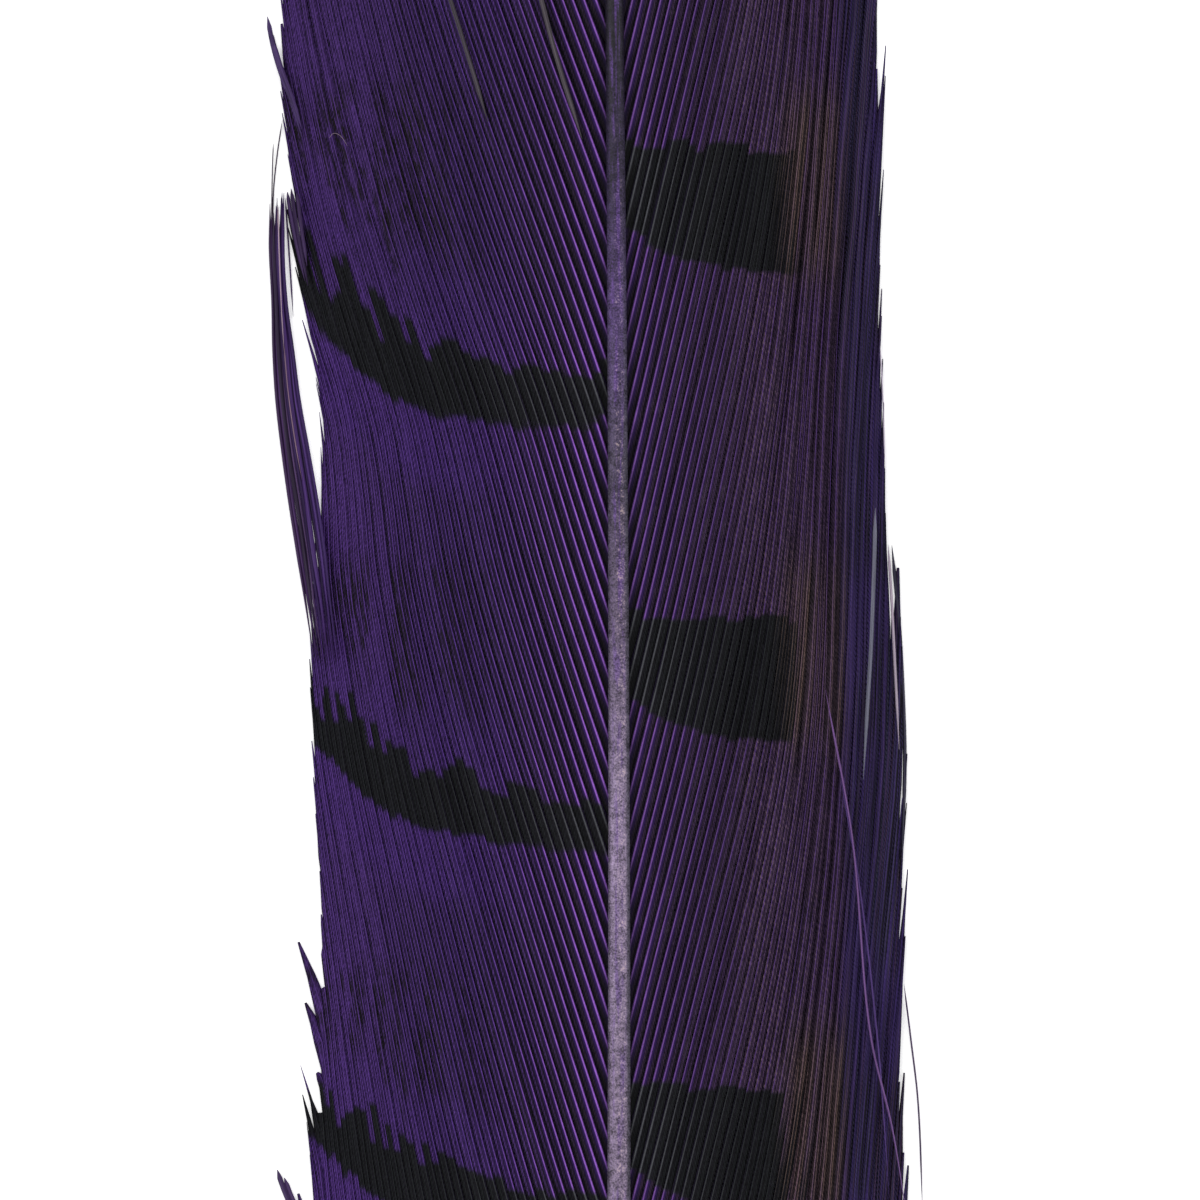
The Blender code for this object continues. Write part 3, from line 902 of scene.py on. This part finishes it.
class VaneBoard:
    """A vane's material, with the masks and textures that both vanes' colours are made of."""

    def __init__(self, name, halo_reach, slant, bars):
        self.board = board = new_material(name, 0.6, 0.12)
        traits = ("lateral", "along", "barb", "tone", "offset", "gap", "core")
        self.u, self.along, self.barb, tone, self.offset, gap, core = map(board.trait, traits)
        self.y = board.axis(board.object_mm(), "Y")
        self.share = self.offset / gap
        self.stroke, fibre = self.hatch(self.barb, 0.25, slant)
        self.bars = board.group(
            cross_bars, y=self.y, lateral=self.u, root=board.trait("root"), barb=self.barb, **bars)

        # The ramus, its painted highlight along the middle, the halo beside it, the dark line on its
        # other side, which is painted shadow where the next barb's web tucks under the ramus, and
        # the thinner line half way to the next ramus
        self.ramus = 1 - abs(core).step(0.45, 1.1)
        painted_rib_highlight = 1 - abs(core).step(0.0, 0.7)
        self.halo = core.step(-halo_reach, -1.4) * (1 - core.step(-1.0, -0.6))
        self.line = core.step(0.7, 1.2) * (1 - core.step(1.8, 3.0))
        self.second = 1 - abs(self.share + 0.5).step(0.04, 0.15)

        # How much lighter or darker a web, a rib and the thin line are along their length; the
        # rib's factor also carries its painted highlight along the middle
        along, barb = self.along, self.barb
        self.grain = board.noise((along / 0.16, self.offset / 0.075, barb * 5.1), 1.0, 1.0, 0.6)
        streak = board.noise((along / 5.0, barb * 3.7, 1.0), roughness=0.6)
        texture = self.stroke.step(0.3, 0.95) * 0.26 + (fibre - 0.5) * 1.9 + 0.7
        texture = texture + (self.grain - 0.5) * 1.9 + (streak - 0.5) + tone * 0.22
        self.web_texture = texture.at_least(0.2)
        patchy = board.noise((along / 1.3, barb, 5.0), roughness=0.7)
        self.rib_texture = painted_rib_highlight * 0.55 + (patchy * 1.3 + 0.1)
        self.beads = self.grain * 1.3 + (self.stroke * 0.5 + 0.1)

    def hatch(self, barb, period, slant):
        """Strokes and fibres of the barbules."""
        return self.board.group(
            barbule_hatch, along=self.along, offset=self.offset, barb=barb, period=period,
            slant=slant,
        ).values()

    def blotches(self, barb, length, width, cover, seed):
        """Blotches on the webs."""
        return self.board.group(
            web_blotches, along=self.along, barb=barb, length=length, width=width, cover=cover,
            seed=seed,
        )["Mask"]

    def finish(self, colour, relief):
        """The vane's material, with painted shade in the groove beside the shaft."""
        board = self.board
        board.feed(board.shader.inputs["Roughness"], self.ramus * -0.12 + 0.64)
        # Painted shade: the colour is darkened in the groove beside the shaft
        shadow = self.u.step(0.45, 0.95) * 0.72 + 0.28
        return board.paint(board.scaled(colour, shadow), relief, 0.7)


def left_vane_material(ink):
    """Violet webs between lilac rami, crossed by slanting black bars with ragged upper edges."""
    vane = VaneBoard("left_vane", 3.4, 1.3, LEFT_BARS)
    u, mix, scaled = vane.u, vane.board.colour, vane.board.scaled
    bar, rise, below, above = vane.bars.values()
    fleck = vane.blotches(vane.barb + vane.share, 1.1, 0.42, 0.8, 2.0)
    cloud = vane.blotches(vane.barb, 5.0, 7.0, 0.9, 8.0)

    web = mix(u.step(1.5, 9.0), ink.web_dark, ink.web_violet)
    web = mix(u.step(9.5, 14.0), web, ink.web_outer)
    clear = below.band(0.0, 2.4, 1.6).at_least(above.band(0.0, 2.0, 1.6) * 0.7)
    clear = clear * u.step(3.0, 8.5)
    web = mix(clear * 0.7, web, ink.web_bright)
    shadow = (fleck * 0.75 + 0.25) * cloud * (u.step(5.0, 10.0) * 0.6 + 0.4)
    shadow = shadow * (rise.band(7.5, 13.5, 2.5) * 0.8 + 0.2) * (1 - clear)
    web = mix(shadow, web, ink.web_fleck)
    web = mix(bar, web, ink.bar_black)
    web = scaled(web, vane.web_texture)

    outward = u.step(2.0, 13.0)
    web = mix(vane.halo * (outward * -0.55 + 0.75) * (1 - bar), web, ink.halo)
    # Painted shadow: the dark line where the next barb's web tucks under the rib
    web = mix(vane.line * (outward * -0.65 + 0.8), web, ink.line)
    thread = mix(u.step(1.0, 6.0), ink.thread_near, ink.thread)
    thread = scaled(mix(bar, thread, ink.bar_ramus_far), vane.beads)
    shown = (u.step(1.0, 6.0) * 0.35 + 0.4) * (shadow * -0.7 + 1.0)
    web = mix(vane.second * shown, web, thread)

    rib = mix(u.step(1.5, 8.0), ink.ramus_near, ink.ramus_middle)
    rib = mix(u.step(8.0, 15.0), rib, ink.thread)
    grey = mix(u.step(0.5, 10.0), ink.bar_ramus, ink.bar_ramus_far)
    rib = scaled(mix(bar, rib, grey), vane.rib_texture)
    rib = scaled(rib, vane.y.step(24.0, 44.0) * -0.18 + 1.0)
    return vane.finish(mix(vane.ramus, web, rib), vane.stroke + vane.grain)


def right_vane_material(ink):
    """Dark webs, blunt black bars, a brown roped zone and a fringe of smooth dyed strands."""
    vane = VaneBoard("right_vane", 3.6, 1.6, RIGHT_BARS)
    board, u, barb, share = vane.board, vane.u, vane.barb, vane.share
    mix, scaled = board.colour, board.scaled
    bar, rise, *_ = vane.bars.values()
    fleck = vane.blotches(barb, 2.2, 1.0, 0.55, 21.0)
    strokes, fibres = vane.hatch(barb + 11.0, 0.36, 0.9)

    web = mix(u.step(1.0, 6.0), ink.right_web_near, ink.right_web_middle)
    web = mix(fleck * 0.5, web, ink.right_mottle)
    twisted = (1 - abs(share).step(0.08, 0.24)).at_least(vane.second * 0.9)
    strand = twisted * (strokes.step(0.25, 0.9) * 0.75 + 0.25) * fibres.step(0.25, 0.55)
    roped = u.step(4.8, 7.4)
    web = mix(roped * 0.9, web, mix(strand, ink.rope_gap, ink.rope_stroke))
    brown = u.band(9.0, 11.4, 1.5) * rise.band(-1.0, 4.5, 4.0)
    brown = brown * (board.scatter(barb + 31.0) * 0.75 + 0.3)
    web = mix(brown, web, mix(strand, ink.brown_base, ink.brown_stroke))
    web = scaled(mix(bar, web, ink.bar_black), vane.web_texture)

    off_bar = 1 - bar.at_least(brown)
    web = mix(vane.halo * off_bar * (u.step(2.0, 9.0) * -0.5 + 0.7), web, ink.halo)
    # Painted shadow: the dark line where the next barb's web tucks under the rib
    web = mix(vane.line * (u.step(2.0, 8.0) * -0.4 + 0.6), web, ink.line)
    thread = mix(u.step(1.0, 5.0), ink.thread_near, ink.right_thread)
    thread = mix(bar, thread, ink.bar_ramus_far)
    thread = scaled(mix(brown, thread, ink.brown_stroke), vane.beads)
    web = mix(vane.second * 0.7, web, thread)

    rib = mix(u.step(1.0, 7.5), ink.right_ramus_near, ink.right_ramus_far)
    grey = mix(u.step(0.5, 7.0), ink.bar_ramus, ink.bar_ramus_far)
    rib = mix(brown * 0.8, mix(bar, rib, grey), ink.brown_stroke)
    colour = mix(vane.ramus, web, scaled(rib, vane.rib_texture))

    strip = board.math("FLOOR", share * 6.0)
    strands = board.ramp(board.scatter(barb * 29.0 + strip), (
        (0.0, ink.fringe_black), (0.2, ink.fringe_navy), (0.42, ink.fringe_violet),
        (0.7, ink.fringe_mauve), (0.86, ink.fringe_slate),
    ), "CONSTANT")
    washed = board.noise((vane.y / 9.0, u / 2.5, 6.0), 1.0, 1.0)
    strands = mix(washed.step(0.45, 0.6) * 0.45, strands, ink.fringe_violet)
    drawn = board.noise((vane.along / 9.0, barb, vane.offset * 9.0), 1.0, 3.0, 0.7)
    strands = scaled(strands, ((drawn - 0.5) * 4.4 + 1.0).at_least(0.15))
    colour = mix(u.step(10.8, 11.8), colour, strands)
    return vane.finish(colour, vane.stroke + (strand * roped * 1.2 + vane.grain))


def shaft_material(ink):
    """Horny shaft: dark slate near the tip, paler and lavender lower down, speckled all over."""
    board = new_material("shaft_horn", 0.5, 0.25)
    mix = board.colour
    y = board.axis(board.object_mm(), "Y")
    around = board.trait("around")
    low, high = SHAFT_COLOUR_RUN
    stops = [((at - low) / (high - low), getattr(ink, name)) for at, name in SHAFT_COLOURS]
    base = board.ramp((y - low) / (high - low), stops)
    streak = board.noise((around * 2.4, y / 3.6, 2.0), 1.0, 3.0, 0.65)
    dye = streak.step(0.48, 0.62) * abs(around).step(0.85, 0.3)
    base = mix(dye * 0.55, base, ink.shaft_dye)
    lower = y.step(44.0, 20.0)
    # Painted shade along the shaft's rounded sides on the paler lower shaft, heavier on the right
    base = mix(around.step(0.55, 0.8) * (lower * 0.85), base, ink.shaft_rim)
    base = mix(around.step(-0.7, -0.9) * (lower * 0.6), base, ink.shaft_rim)
    speckle = board.group(fine_speckle, grain=0.1)["Speckle"]
    speckled = speckle * (y.step(-160.0, -90.0) * 2.6 + 1.0) + 0.98
    base = board.scaled(base, speckled.at_least(0.25))
    cream = speckle.step(0.06, 0.26) * around.band(-0.1, 0.5, 0.25) * lower
    return board.paint(mix(cream * 0.55, base, ink.shaft_cream), speckle, 0.5)


def strand_material():
    """Loose barbs: each strand in its own tint, drawn out in fine lengthwise streaks."""
    board = new_material("loose_strand", 0.55, 0.15)
    place_here = (board.trait("along") / 6.0, board.trait("core") * 2.0, board.trait("barb"))
    fibre = board.noise(place_here, 1.0, 3.0, 0.65)
    streak = ((fibre - 0.5) * 3.6 + 1.0).at_least(0.2)
    return board.paint(board.scaled(board.trait("tint", "Color"), streak), fibre, 0.6)


def down_material(ink):
    """Fluffy barbs at the foot: pale grey with a little of the dye."""
    board = new_material("foot_down", 0.8, 0.05)
    shade = board.colour(board.trait("tone"), ink.down_pale, ink.down_dyed)
    fibre = board.noise((board.trait("along") / 0.6, board.trait("barb")), roughness=0.6)
    return board.paint(board.scaled(shade, fibre * 0.7 + 0.65))


def floor_material(ink):
    """A smooth pale floor, lit a little from within so that it stays white."""
    board = new_material("pale_floor", 0.9, 0.0)
    board.shader.inputs["Emission Color"].default_value = (1.0, 1.0, 1.0, 1.0)
    board.shader.inputs["Emission Strength"].default_value = FLOOR_GLOW
    paper = board.noise(board.object_mm(), 0.4, 3.0)
    return board.paint(board.scaled(ink.floor, paper * 0.02 + 0.98))


def smooth_line(points, stations):
    """Places evenly spread along a soft curve through the points."""
    points = np.array(points, float)
    legs = np.linalg.norm(np.diff(points, axis=0), axis=1)
    marks = np.concatenate(([0.0], np.cumsum(legs)))
    along = np.linspace(0, marks[-1], stations)
    columns = [soft_curve(list(zip(marks, points[:, axis])), along) for axis in range(3)]
    return np.stack(columns, axis=-1)


def line_tracks(lines, widths, stations, seed, taper=0.25):
    """Guide lines for loose barbs, with their widths."""
    draw = np.random.default_rng(seed)
    rail = np.stack([smooth_line(points, stations) for points in lines])
    share = np.linspace(0, 1, stations)[None, :] + np.zeros((len(lines), 1))
    half = np.array(widths)[:, None] / 2
    fine = np.minimum(1.0, np.minimum(share / 0.1 + 0.12, (1 - share) / taper + 0.12))
    tone = draw.random((len(lines), 1)) + np.zeros_like(share)
    return {
        "rail": rail, "heading": headings(rail), "web": half * fine, "ramus": half * fine * 0.6,
        "share": share, "along": travelled(rail), "barb": np.arange(len(lines))[:, None] + tone,
        "root": share * 0.0, "tone": tone, "slope": share * 0.0,
    }


def vane_top(x, y):
    """Height of the vanes' upper side at a place, or of the surface where there is no vane."""
    vane = LEFT if x < shaft_x(y) else RIGHT
    lateral = abs(x - shaft_x(y)) - VANE_ROOT_SHARE * shaft_width(y)
    v = max(0.0, lateral / (soft_curve(vane.widths, (TIP_Y - y) / MM) * MM))
    if v > 1.02:
        return 0.0
    arch = math.cos(math.pi / 2 * min(1.0, v / FLAT_FROM)) ** 2
    return float(root_height(y)) * arch + SHEET_THICKNESS


def strand_line(pixels, lift):
    """A loose barb's line over the vane, from places in the picture."""
    line = []
    for column, row in pixels:
        x, y = place(column, row)
        line.append((x, y, vane_top(x, y) + lift))
    return line


def loose_lock():
    """The barbs of the loose lock, side by side between its edges and uneven in length."""
    draw = random.Random(4)
    count = len(LOOSE_LOCK_TINTS)
    for k, tint in enumerate(LOOSE_LOCK_TINTS):
        share = (k + 0.5) / count
        line = []
        for row, low, high in LOOSE_LOCK:
            wander = draw.uniform(-0.7, 0.7)
            line.append((low + (high - low) * share + wander, row))
        line[0] = (line[0][0], line[0][1] + draw.uniform(0, 26))
        width = LOOSE_LOCK_WIDTH * draw.uniform(0.75, 1.15)
        yield line, width, LOOSE_LOCK_LIFT + 0.03 * draw.random() * count, tint


def sweep_piece(name, make, tracks, slot, **values):
    """A plain mesh that a tree sweeps along guide lines, riding with the feather as its solid."""
    tree = built(make)
    holder = bpy.data.objects.new(name + "_guides", guide_mesh(name + "_guides", tracks))
    bpy.context.scene.collection.objects.link(holder)
    modifier = holder.modifiers.new("Sweep", "NODES")
    modifier.node_group = tree
    for item in tree.interface.items_tree:
        key = item.name.lower().replace(" ", "_")
        if item.in_out == "INPUT" and key in values:
            modifier[item.identifier] = values[key]
    bpy.context.view_layer.update()
    evaluated = holder.evaluated_get(bpy.context.evaluated_depsgraph_get())
    mesh = bpy.data.meshes.new_from_object(evaluated)
    bpy.data.objects.remove(holder, do_unlink=True)
    mesh.name = name
    if not mesh.polygons:
        raise RuntimeError(name + " came out empty")
    piece = bpy.data.objects.new(name, mesh)
    bpy.context.scene.collection.objects.link(piece)
    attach(piece, BODY)
    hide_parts(NODE)


def shade(name, description, screen):
    """A colour property whose default is given as it looks on a screen."""
    return FloatVectorProperty(
        name=name.replace("_", " ").title(), description=description, subtype="COLOR", size=4,
        min=0.0, max=1.0, default=srgb(*screen),
    )


def length(name, description, millimetres):
    """A small length property, given in millimetres."""
    return FloatProperty(
        name=name, description=description, unit="LENGTH", min=0.0, default=millimetres * MM,
        precision=6,
    )


class FeatherSizes(bpy.types.PropertyGroup):
    """What a user would change in the feather's build."""

    left_pitch: length("Left Barb Step", "Step of the left barbs along the shaft", 1.55)
    right_pitch: length("Right Barb Step", "Step of the right barbs along the shaft", 1.9)
    ramus_width: length("Ramus Width", "Width of a barb's bright rib at the shaft", 0.155)
    wave_near: length("Sway by Shaft", "Sideways sway of the barbs near the shaft", 0.012)
    wave_edge: length("Sway at Edge", "Sideways sway of the barbs at the vane's edge", 0.04)
    web_overlap: FloatProperty(
        name="Web Overlap", description="Half width of a web as a share of the barbs' spacing",
        default=0.78, min=0.3, max=1.5, subtype="FACTOR",
    )
    edge_fullness: FloatProperty(
        name="Edge Fullness", description="How much wider the barbs of the left edge are",
        default=1.35, min=0.5, max=4.0,
    )
    fringe_fullness: FloatProperty(
        name="Fringe Fullness", description="How much wider the strands of the right edge are",
        default=2.0, min=0.5, max=4.0,
    )
    down_barbs: IntProperty(
        name="Down Barbs", description="Fluffy barbs on each side at the foot", default=70, min=0,
    )
    light: FloatProperty(
        name="Light", description="Strength of the soft studio light", default=1.0, min=0.0,
    )


class FeatherColours(bpy.types.PropertyGroup):
    """The dyed feather's colours."""

    __annotations__ = {name: shade(name, about, screen) for name, about, screen in COLOURS}


def sizes():
    return bpy.context.scene.feather_sizes


def colours():
    return bpy.context.scene.feather_colours


def vane_pieces(side_name, vane, pitch, material, seed):
    """One vane as three pieces: foot, middle and tip, each a row of barbs."""
    roots = barb_roots(vane, pitch, seed)
    middle_low, middle_high = MIDDLE_ROOTS[side_name]
    for part, low, high, stations, points in (
        ("foot", -1.0, middle_low, END_STATIONS, END_SECTION),
        ("middle", middle_low, middle_high, MIDDLE_STATIONS, MIDDLE_SECTION),
        ("tip", middle_high, 1.0, END_STATIONS, END_SECTION),
    ):
        chosen = roots[(roots >= low) & (roots < high)]
        tracks = barb_tracks(vane, chosen, pitch, stations, sizes(), seed + len(part))
        sweep_piece(
            side_name + "_vane_" + part, barb_sweep, tracks, "vane", section_points=points,
            thickness=BARB_THICKNESS, ridge=RIDGE, tilt=TILT, side=float(-vane.side),
            material=material,
        )


class FEATHER_OT_left_vane(bpy.types.Operator):
    """Build the broad left vane out of its single barbs"""

    bl_idname = "feather.left_vane"
    bl_label = "Left Vane"

    def execute(self, context):
        material = left_vane_material(colours())
        vane_pieces("left", LEFT, sizes().left_pitch, material, LEFT_SEED)
        return {"FINISHED"}


class FEATHER_OT_right_vane(bpy.types.Operator):
    """Build the narrower right vane and its fringed edge"""

    bl_idname = "feather.right_vane"
    bl_label = "Right Vane"

    def execute(self, context):
        material = right_vane_material(colours())
        vane_pieces("right", RIGHT, sizes().right_pitch, material, RIGHT_SEED)
        return {"FINISHED"}


class FEATHER_OT_shaft(bpy.types.Operator):
    """Build the shaft with the bare quill that it grows from"""

    bl_idname = "feather.shaft"
    bl_label = "Shaft and Quill"

    def execute(self, context):
        y = np.linspace(QUILL_Y, TIP_Y - SHAFT_TIP_GAP, SHAFT_STATIONS)[None, :]
        radius = shaft_width(y) / 2
        axis = root_height(y) + SHEET_THICKNESS / 2 - SHAFT_DROP_SHARE * radius
        rail = np.stack((shaft_x(y), y, np.maximum(axis, radius)), axis=-1)
        tracks = {"rail": rail, "heading": headings(rail), "girth": radius, "root": y}
        sweep_piece(
            "shaft", shaft_sweep, tracks, "shaft", section_points=SHAFT_SECTION,
            roundness=SHAFT_ROUNDNESS, material=shaft_material(colours()),
        )
        return {"FINISHED"}


class FEATHER_OT_loose_barbs(bpy.types.Operator):
    """Lay the barbs that have come loose at the edges and over the left vane"""

    bl_idname = "feather.loose_barbs"
    bl_label = "Loose Barbs"

    def execute(self, context):
        barbs = LOOSE_BARBS + tuple(loose_lock())
        lines = [strand_line(pixels, lift * MM) for pixels, _, lift, _ in barbs]
        widths = [width * MM for _, width, _, _ in barbs]
        tints = [[srgb(*tint)[:3]] * LOOSE_STATIONS for _, _, _, tint in barbs]
        tracks = line_tracks(lines, widths, LOOSE_STATIONS, LEFT_SEED)
        tracks["tint"] = np.array(tints)
        sweep_piece(
            "loose_barbs", barb_sweep, tracks, "vane", section_points=MIDDLE_SECTION,
            thickness=BARB_THICKNESS, ridge=LOOSE_RIDGE, side=1.0, material=strand_material(),
        )
        return {"FINISHED"}


class FEATHER_OT_down(bpy.types.Operator):
    """Grow the fluffy down at the foot of both vanes"""

    bl_idname = "feather.down"
    bl_label = "Down"

    def execute(self, context):
        lines, widths = down_lines(sizes().down_barbs)
        tracks = line_tracks(lines, widths, DOWN_STATIONS, RIGHT_SEED, DOWN_TAPER)
        sweep_piece(
            "foot_down", barb_sweep, tracks, "down", section_points=DOWN_SECTION,
            thickness=DOWN_THICKNESS, side=1.0, material=down_material(colours()),
        )
        return {"FINISHED"}


def down_lines(count):
    """Lines of the down: wavy barbs from the shaft, each with short fibres along both sides."""
    draw = np.random.default_rng(DOWN_SEED)
    lines, widths = [], []
    for side in (-1, 1):
        for k in range(count):
            root = QUILL_Y + BARE_QUILL + DOWN_RUN * (k + draw.uniform(0, 0.8)) / count
            reach = DOWN_REACH * (0.55 + 0.45 * draw.random()) * (0.45 + 0.55 * min(1.0, k / 12))
            lean = math.radians(draw.uniform(*DOWN_LEAN))
            curl = draw.uniform(*DOWN_CURL)
            phase = draw.uniform(0, 2 * math.pi)
            rise = draw.uniform(*DOWN_RISE) * MM
            barb = []
            for i in range(DOWN_JOINTS + 1):
                t = i / DOWN_JOINTS
                angle = lean - curl * t
                x = shaft_x(root) + side * (DOWN_BASE + reach * t * math.sin(angle))
                x += side * DOWN_BASE * t * math.sin(7 * t + phase)
                y = root + reach * t * math.cos(angle)
                low = 0.4 * MM + rise * math.sin(math.pi * t) + 0.15 * MM * math.sin(9 * t + phase)
                height = float(root_height(root)) * (1 - t) ** 2 + low
                barb.append((x, y, max(DOWN_LOWEST, height)))
            lines.append(barb)
            widths.append(DOWN_BARB_WIDTH)
            for i in range(DOWN_FIBRES):
                t = 0.12 + 0.86 * (i + draw.random()) / DOWN_FIBRES
                at = min(DOWN_JOINTS - 1, int(t * DOWN_JOINTS))
                a, b = np.array(barb[at]), np.array(barb[at + 1])
                start = a + (b - a) * (t * DOWN_JOINTS - at)
                way = (b - a) / np.linalg.norm(b - a)
                turn = math.radians(draw.uniform(*DOWN_FIBRE_TURN)) * (1 if i % 2 else -1)
                ahead = np.array((
                    way[0] * math.cos(turn) - way[1] * math.sin(turn),
                    way[0] * math.sin(turn) + way[1] * math.cos(turn),
                    draw.uniform(*DOWN_FIBRE_RISE),
                ))
                fibre = [start]
                size = DOWN_FIBRE * draw.uniform(0.5, 1.0) * (1 - 0.5 * t)
                for j in (1, 2, 3):
                    bend = ahead * size * j / 3 + way * size * 0.25 * (j / 3) ** 2
                    point = start + bend
                    point[2] = max(DOWN_FIBRE_LOWEST, point[2])
                    fibre.append(point)
                lines.append(fibre)
                widths.append(DOWN_FIBRE_WIDTH)
    return lines, widths


class FEATHER_OT_stage(bpy.types.Operator):
    """Set the pale floor, the soft light and the camera that looks straight down"""

    bl_idname = "feather.stage"
    bl_label = "Stage"

    def execute(self, context):
        scene = context.scene
        board = bmesh.new()
        bmesh.ops.create_grid(board, x_segments=1, y_segments=1, size=FLOOR_SIZE / 2)
        mesh = bpy.data.meshes.new("floor")
        board.to_mesh(mesh)
        board.free()
        floor = bpy.data.objects.new("floor", mesh)
        scene.collection.objects.link(floor)
        mesh.materials.append(floor_material(colours()))

        world = bpy.data.worlds.new("studio")
        world.use_nodes = True
        background = world.node_tree.nodes["Background"]
        background.inputs["Color"].default_value = (1.0, 1.0, 1.0, 1.0)
        background.inputs["Strength"].default_value = WORLD_STRENGTH * sizes().light
        scene.world = world
        scene.view_settings.view_transform = "Standard"
        for name, spot, size, power in SOFTBOXES:
            lamp = bpy.data.lights.new(name, "AREA")
            lamp.shape = "SQUARE"
            lamp.size = size
            lamp.energy = power * sizes().light
            box = bpy.data.objects.new(name, lamp)
            box.location = spot
            box.rotation_euler = (-Vector(spot)).to_track_quat("-Z", "Y").to_euler()
            scene.collection.objects.link(box)

        view = bpy.data.cameras.new("camera")
        view.type = "PERSP"
        view.lens = LENS
        view.sensor_width = SENSOR
        camera = bpy.data.objects.new("camera", view)
        away = FRAME_PIXELS / PIXELS_PER_MM * MM * LENS / SENSOR
        camera.location = (*FRAME_MIDDLE, away + FOCUS_HEIGHT)
        scene.collection.objects.link(camera)
        scene.camera = camera
        return {"FINISHED"}


OPERATORS = (
    FEATHER_OT_left_vane, FEATHER_OT_right_vane, FEATHER_OT_shaft, FEATHER_OT_loose_barbs,
    FEATHER_OT_down, FEATHER_OT_stage,
)


class FEATHER_PT_panel(bpy.types.Panel):
    """Lists the feather's operators and its sizes and colours"""

    bl_idname = "FEATHER_PT_panel"
    bl_label = "Pheasant Tail Feather"
    bl_space_type = "VIEW_3D"
    bl_region_type = "UI"
    bl_category = "Feather"

    def draw(self, context):
        for operator in OPERATORS:
            self.layout.operator(operator.bl_idname)
        for group in (context.scene.feather_sizes, context.scene.feather_colours):
            column = self.layout.column()
            for name in type(group).__annotations__:
                column.prop(group, name)


CLASSES = (FeatherSizes, FeatherColours, *OPERATORS, FEATHER_PT_panel)


def register():
    for item in CLASSES:
        bpy.utils.register_class(item)
    bpy.types.Scene.feather_sizes = PointerProperty(type=FeatherSizes)
    bpy.types.Scene.feather_colours = PointerProperty(type=FeatherColours)


def unregister():
    del bpy.types.Scene.feather_colours
    del bpy.types.Scene.feather_sizes
    for item in reversed(CLASSES):
        bpy.utils.unregister_class(item)


def main():
    register()
    bpy.ops.feather.left_vane()
    bpy.ops.feather.right_vane()
    bpy.ops.feather.shaft()
    bpy.ops.feather.loose_barbs()
    bpy.ops.feather.down()
    bpy.ops.feather.stage()


if __name__ == "__main__":
    main()
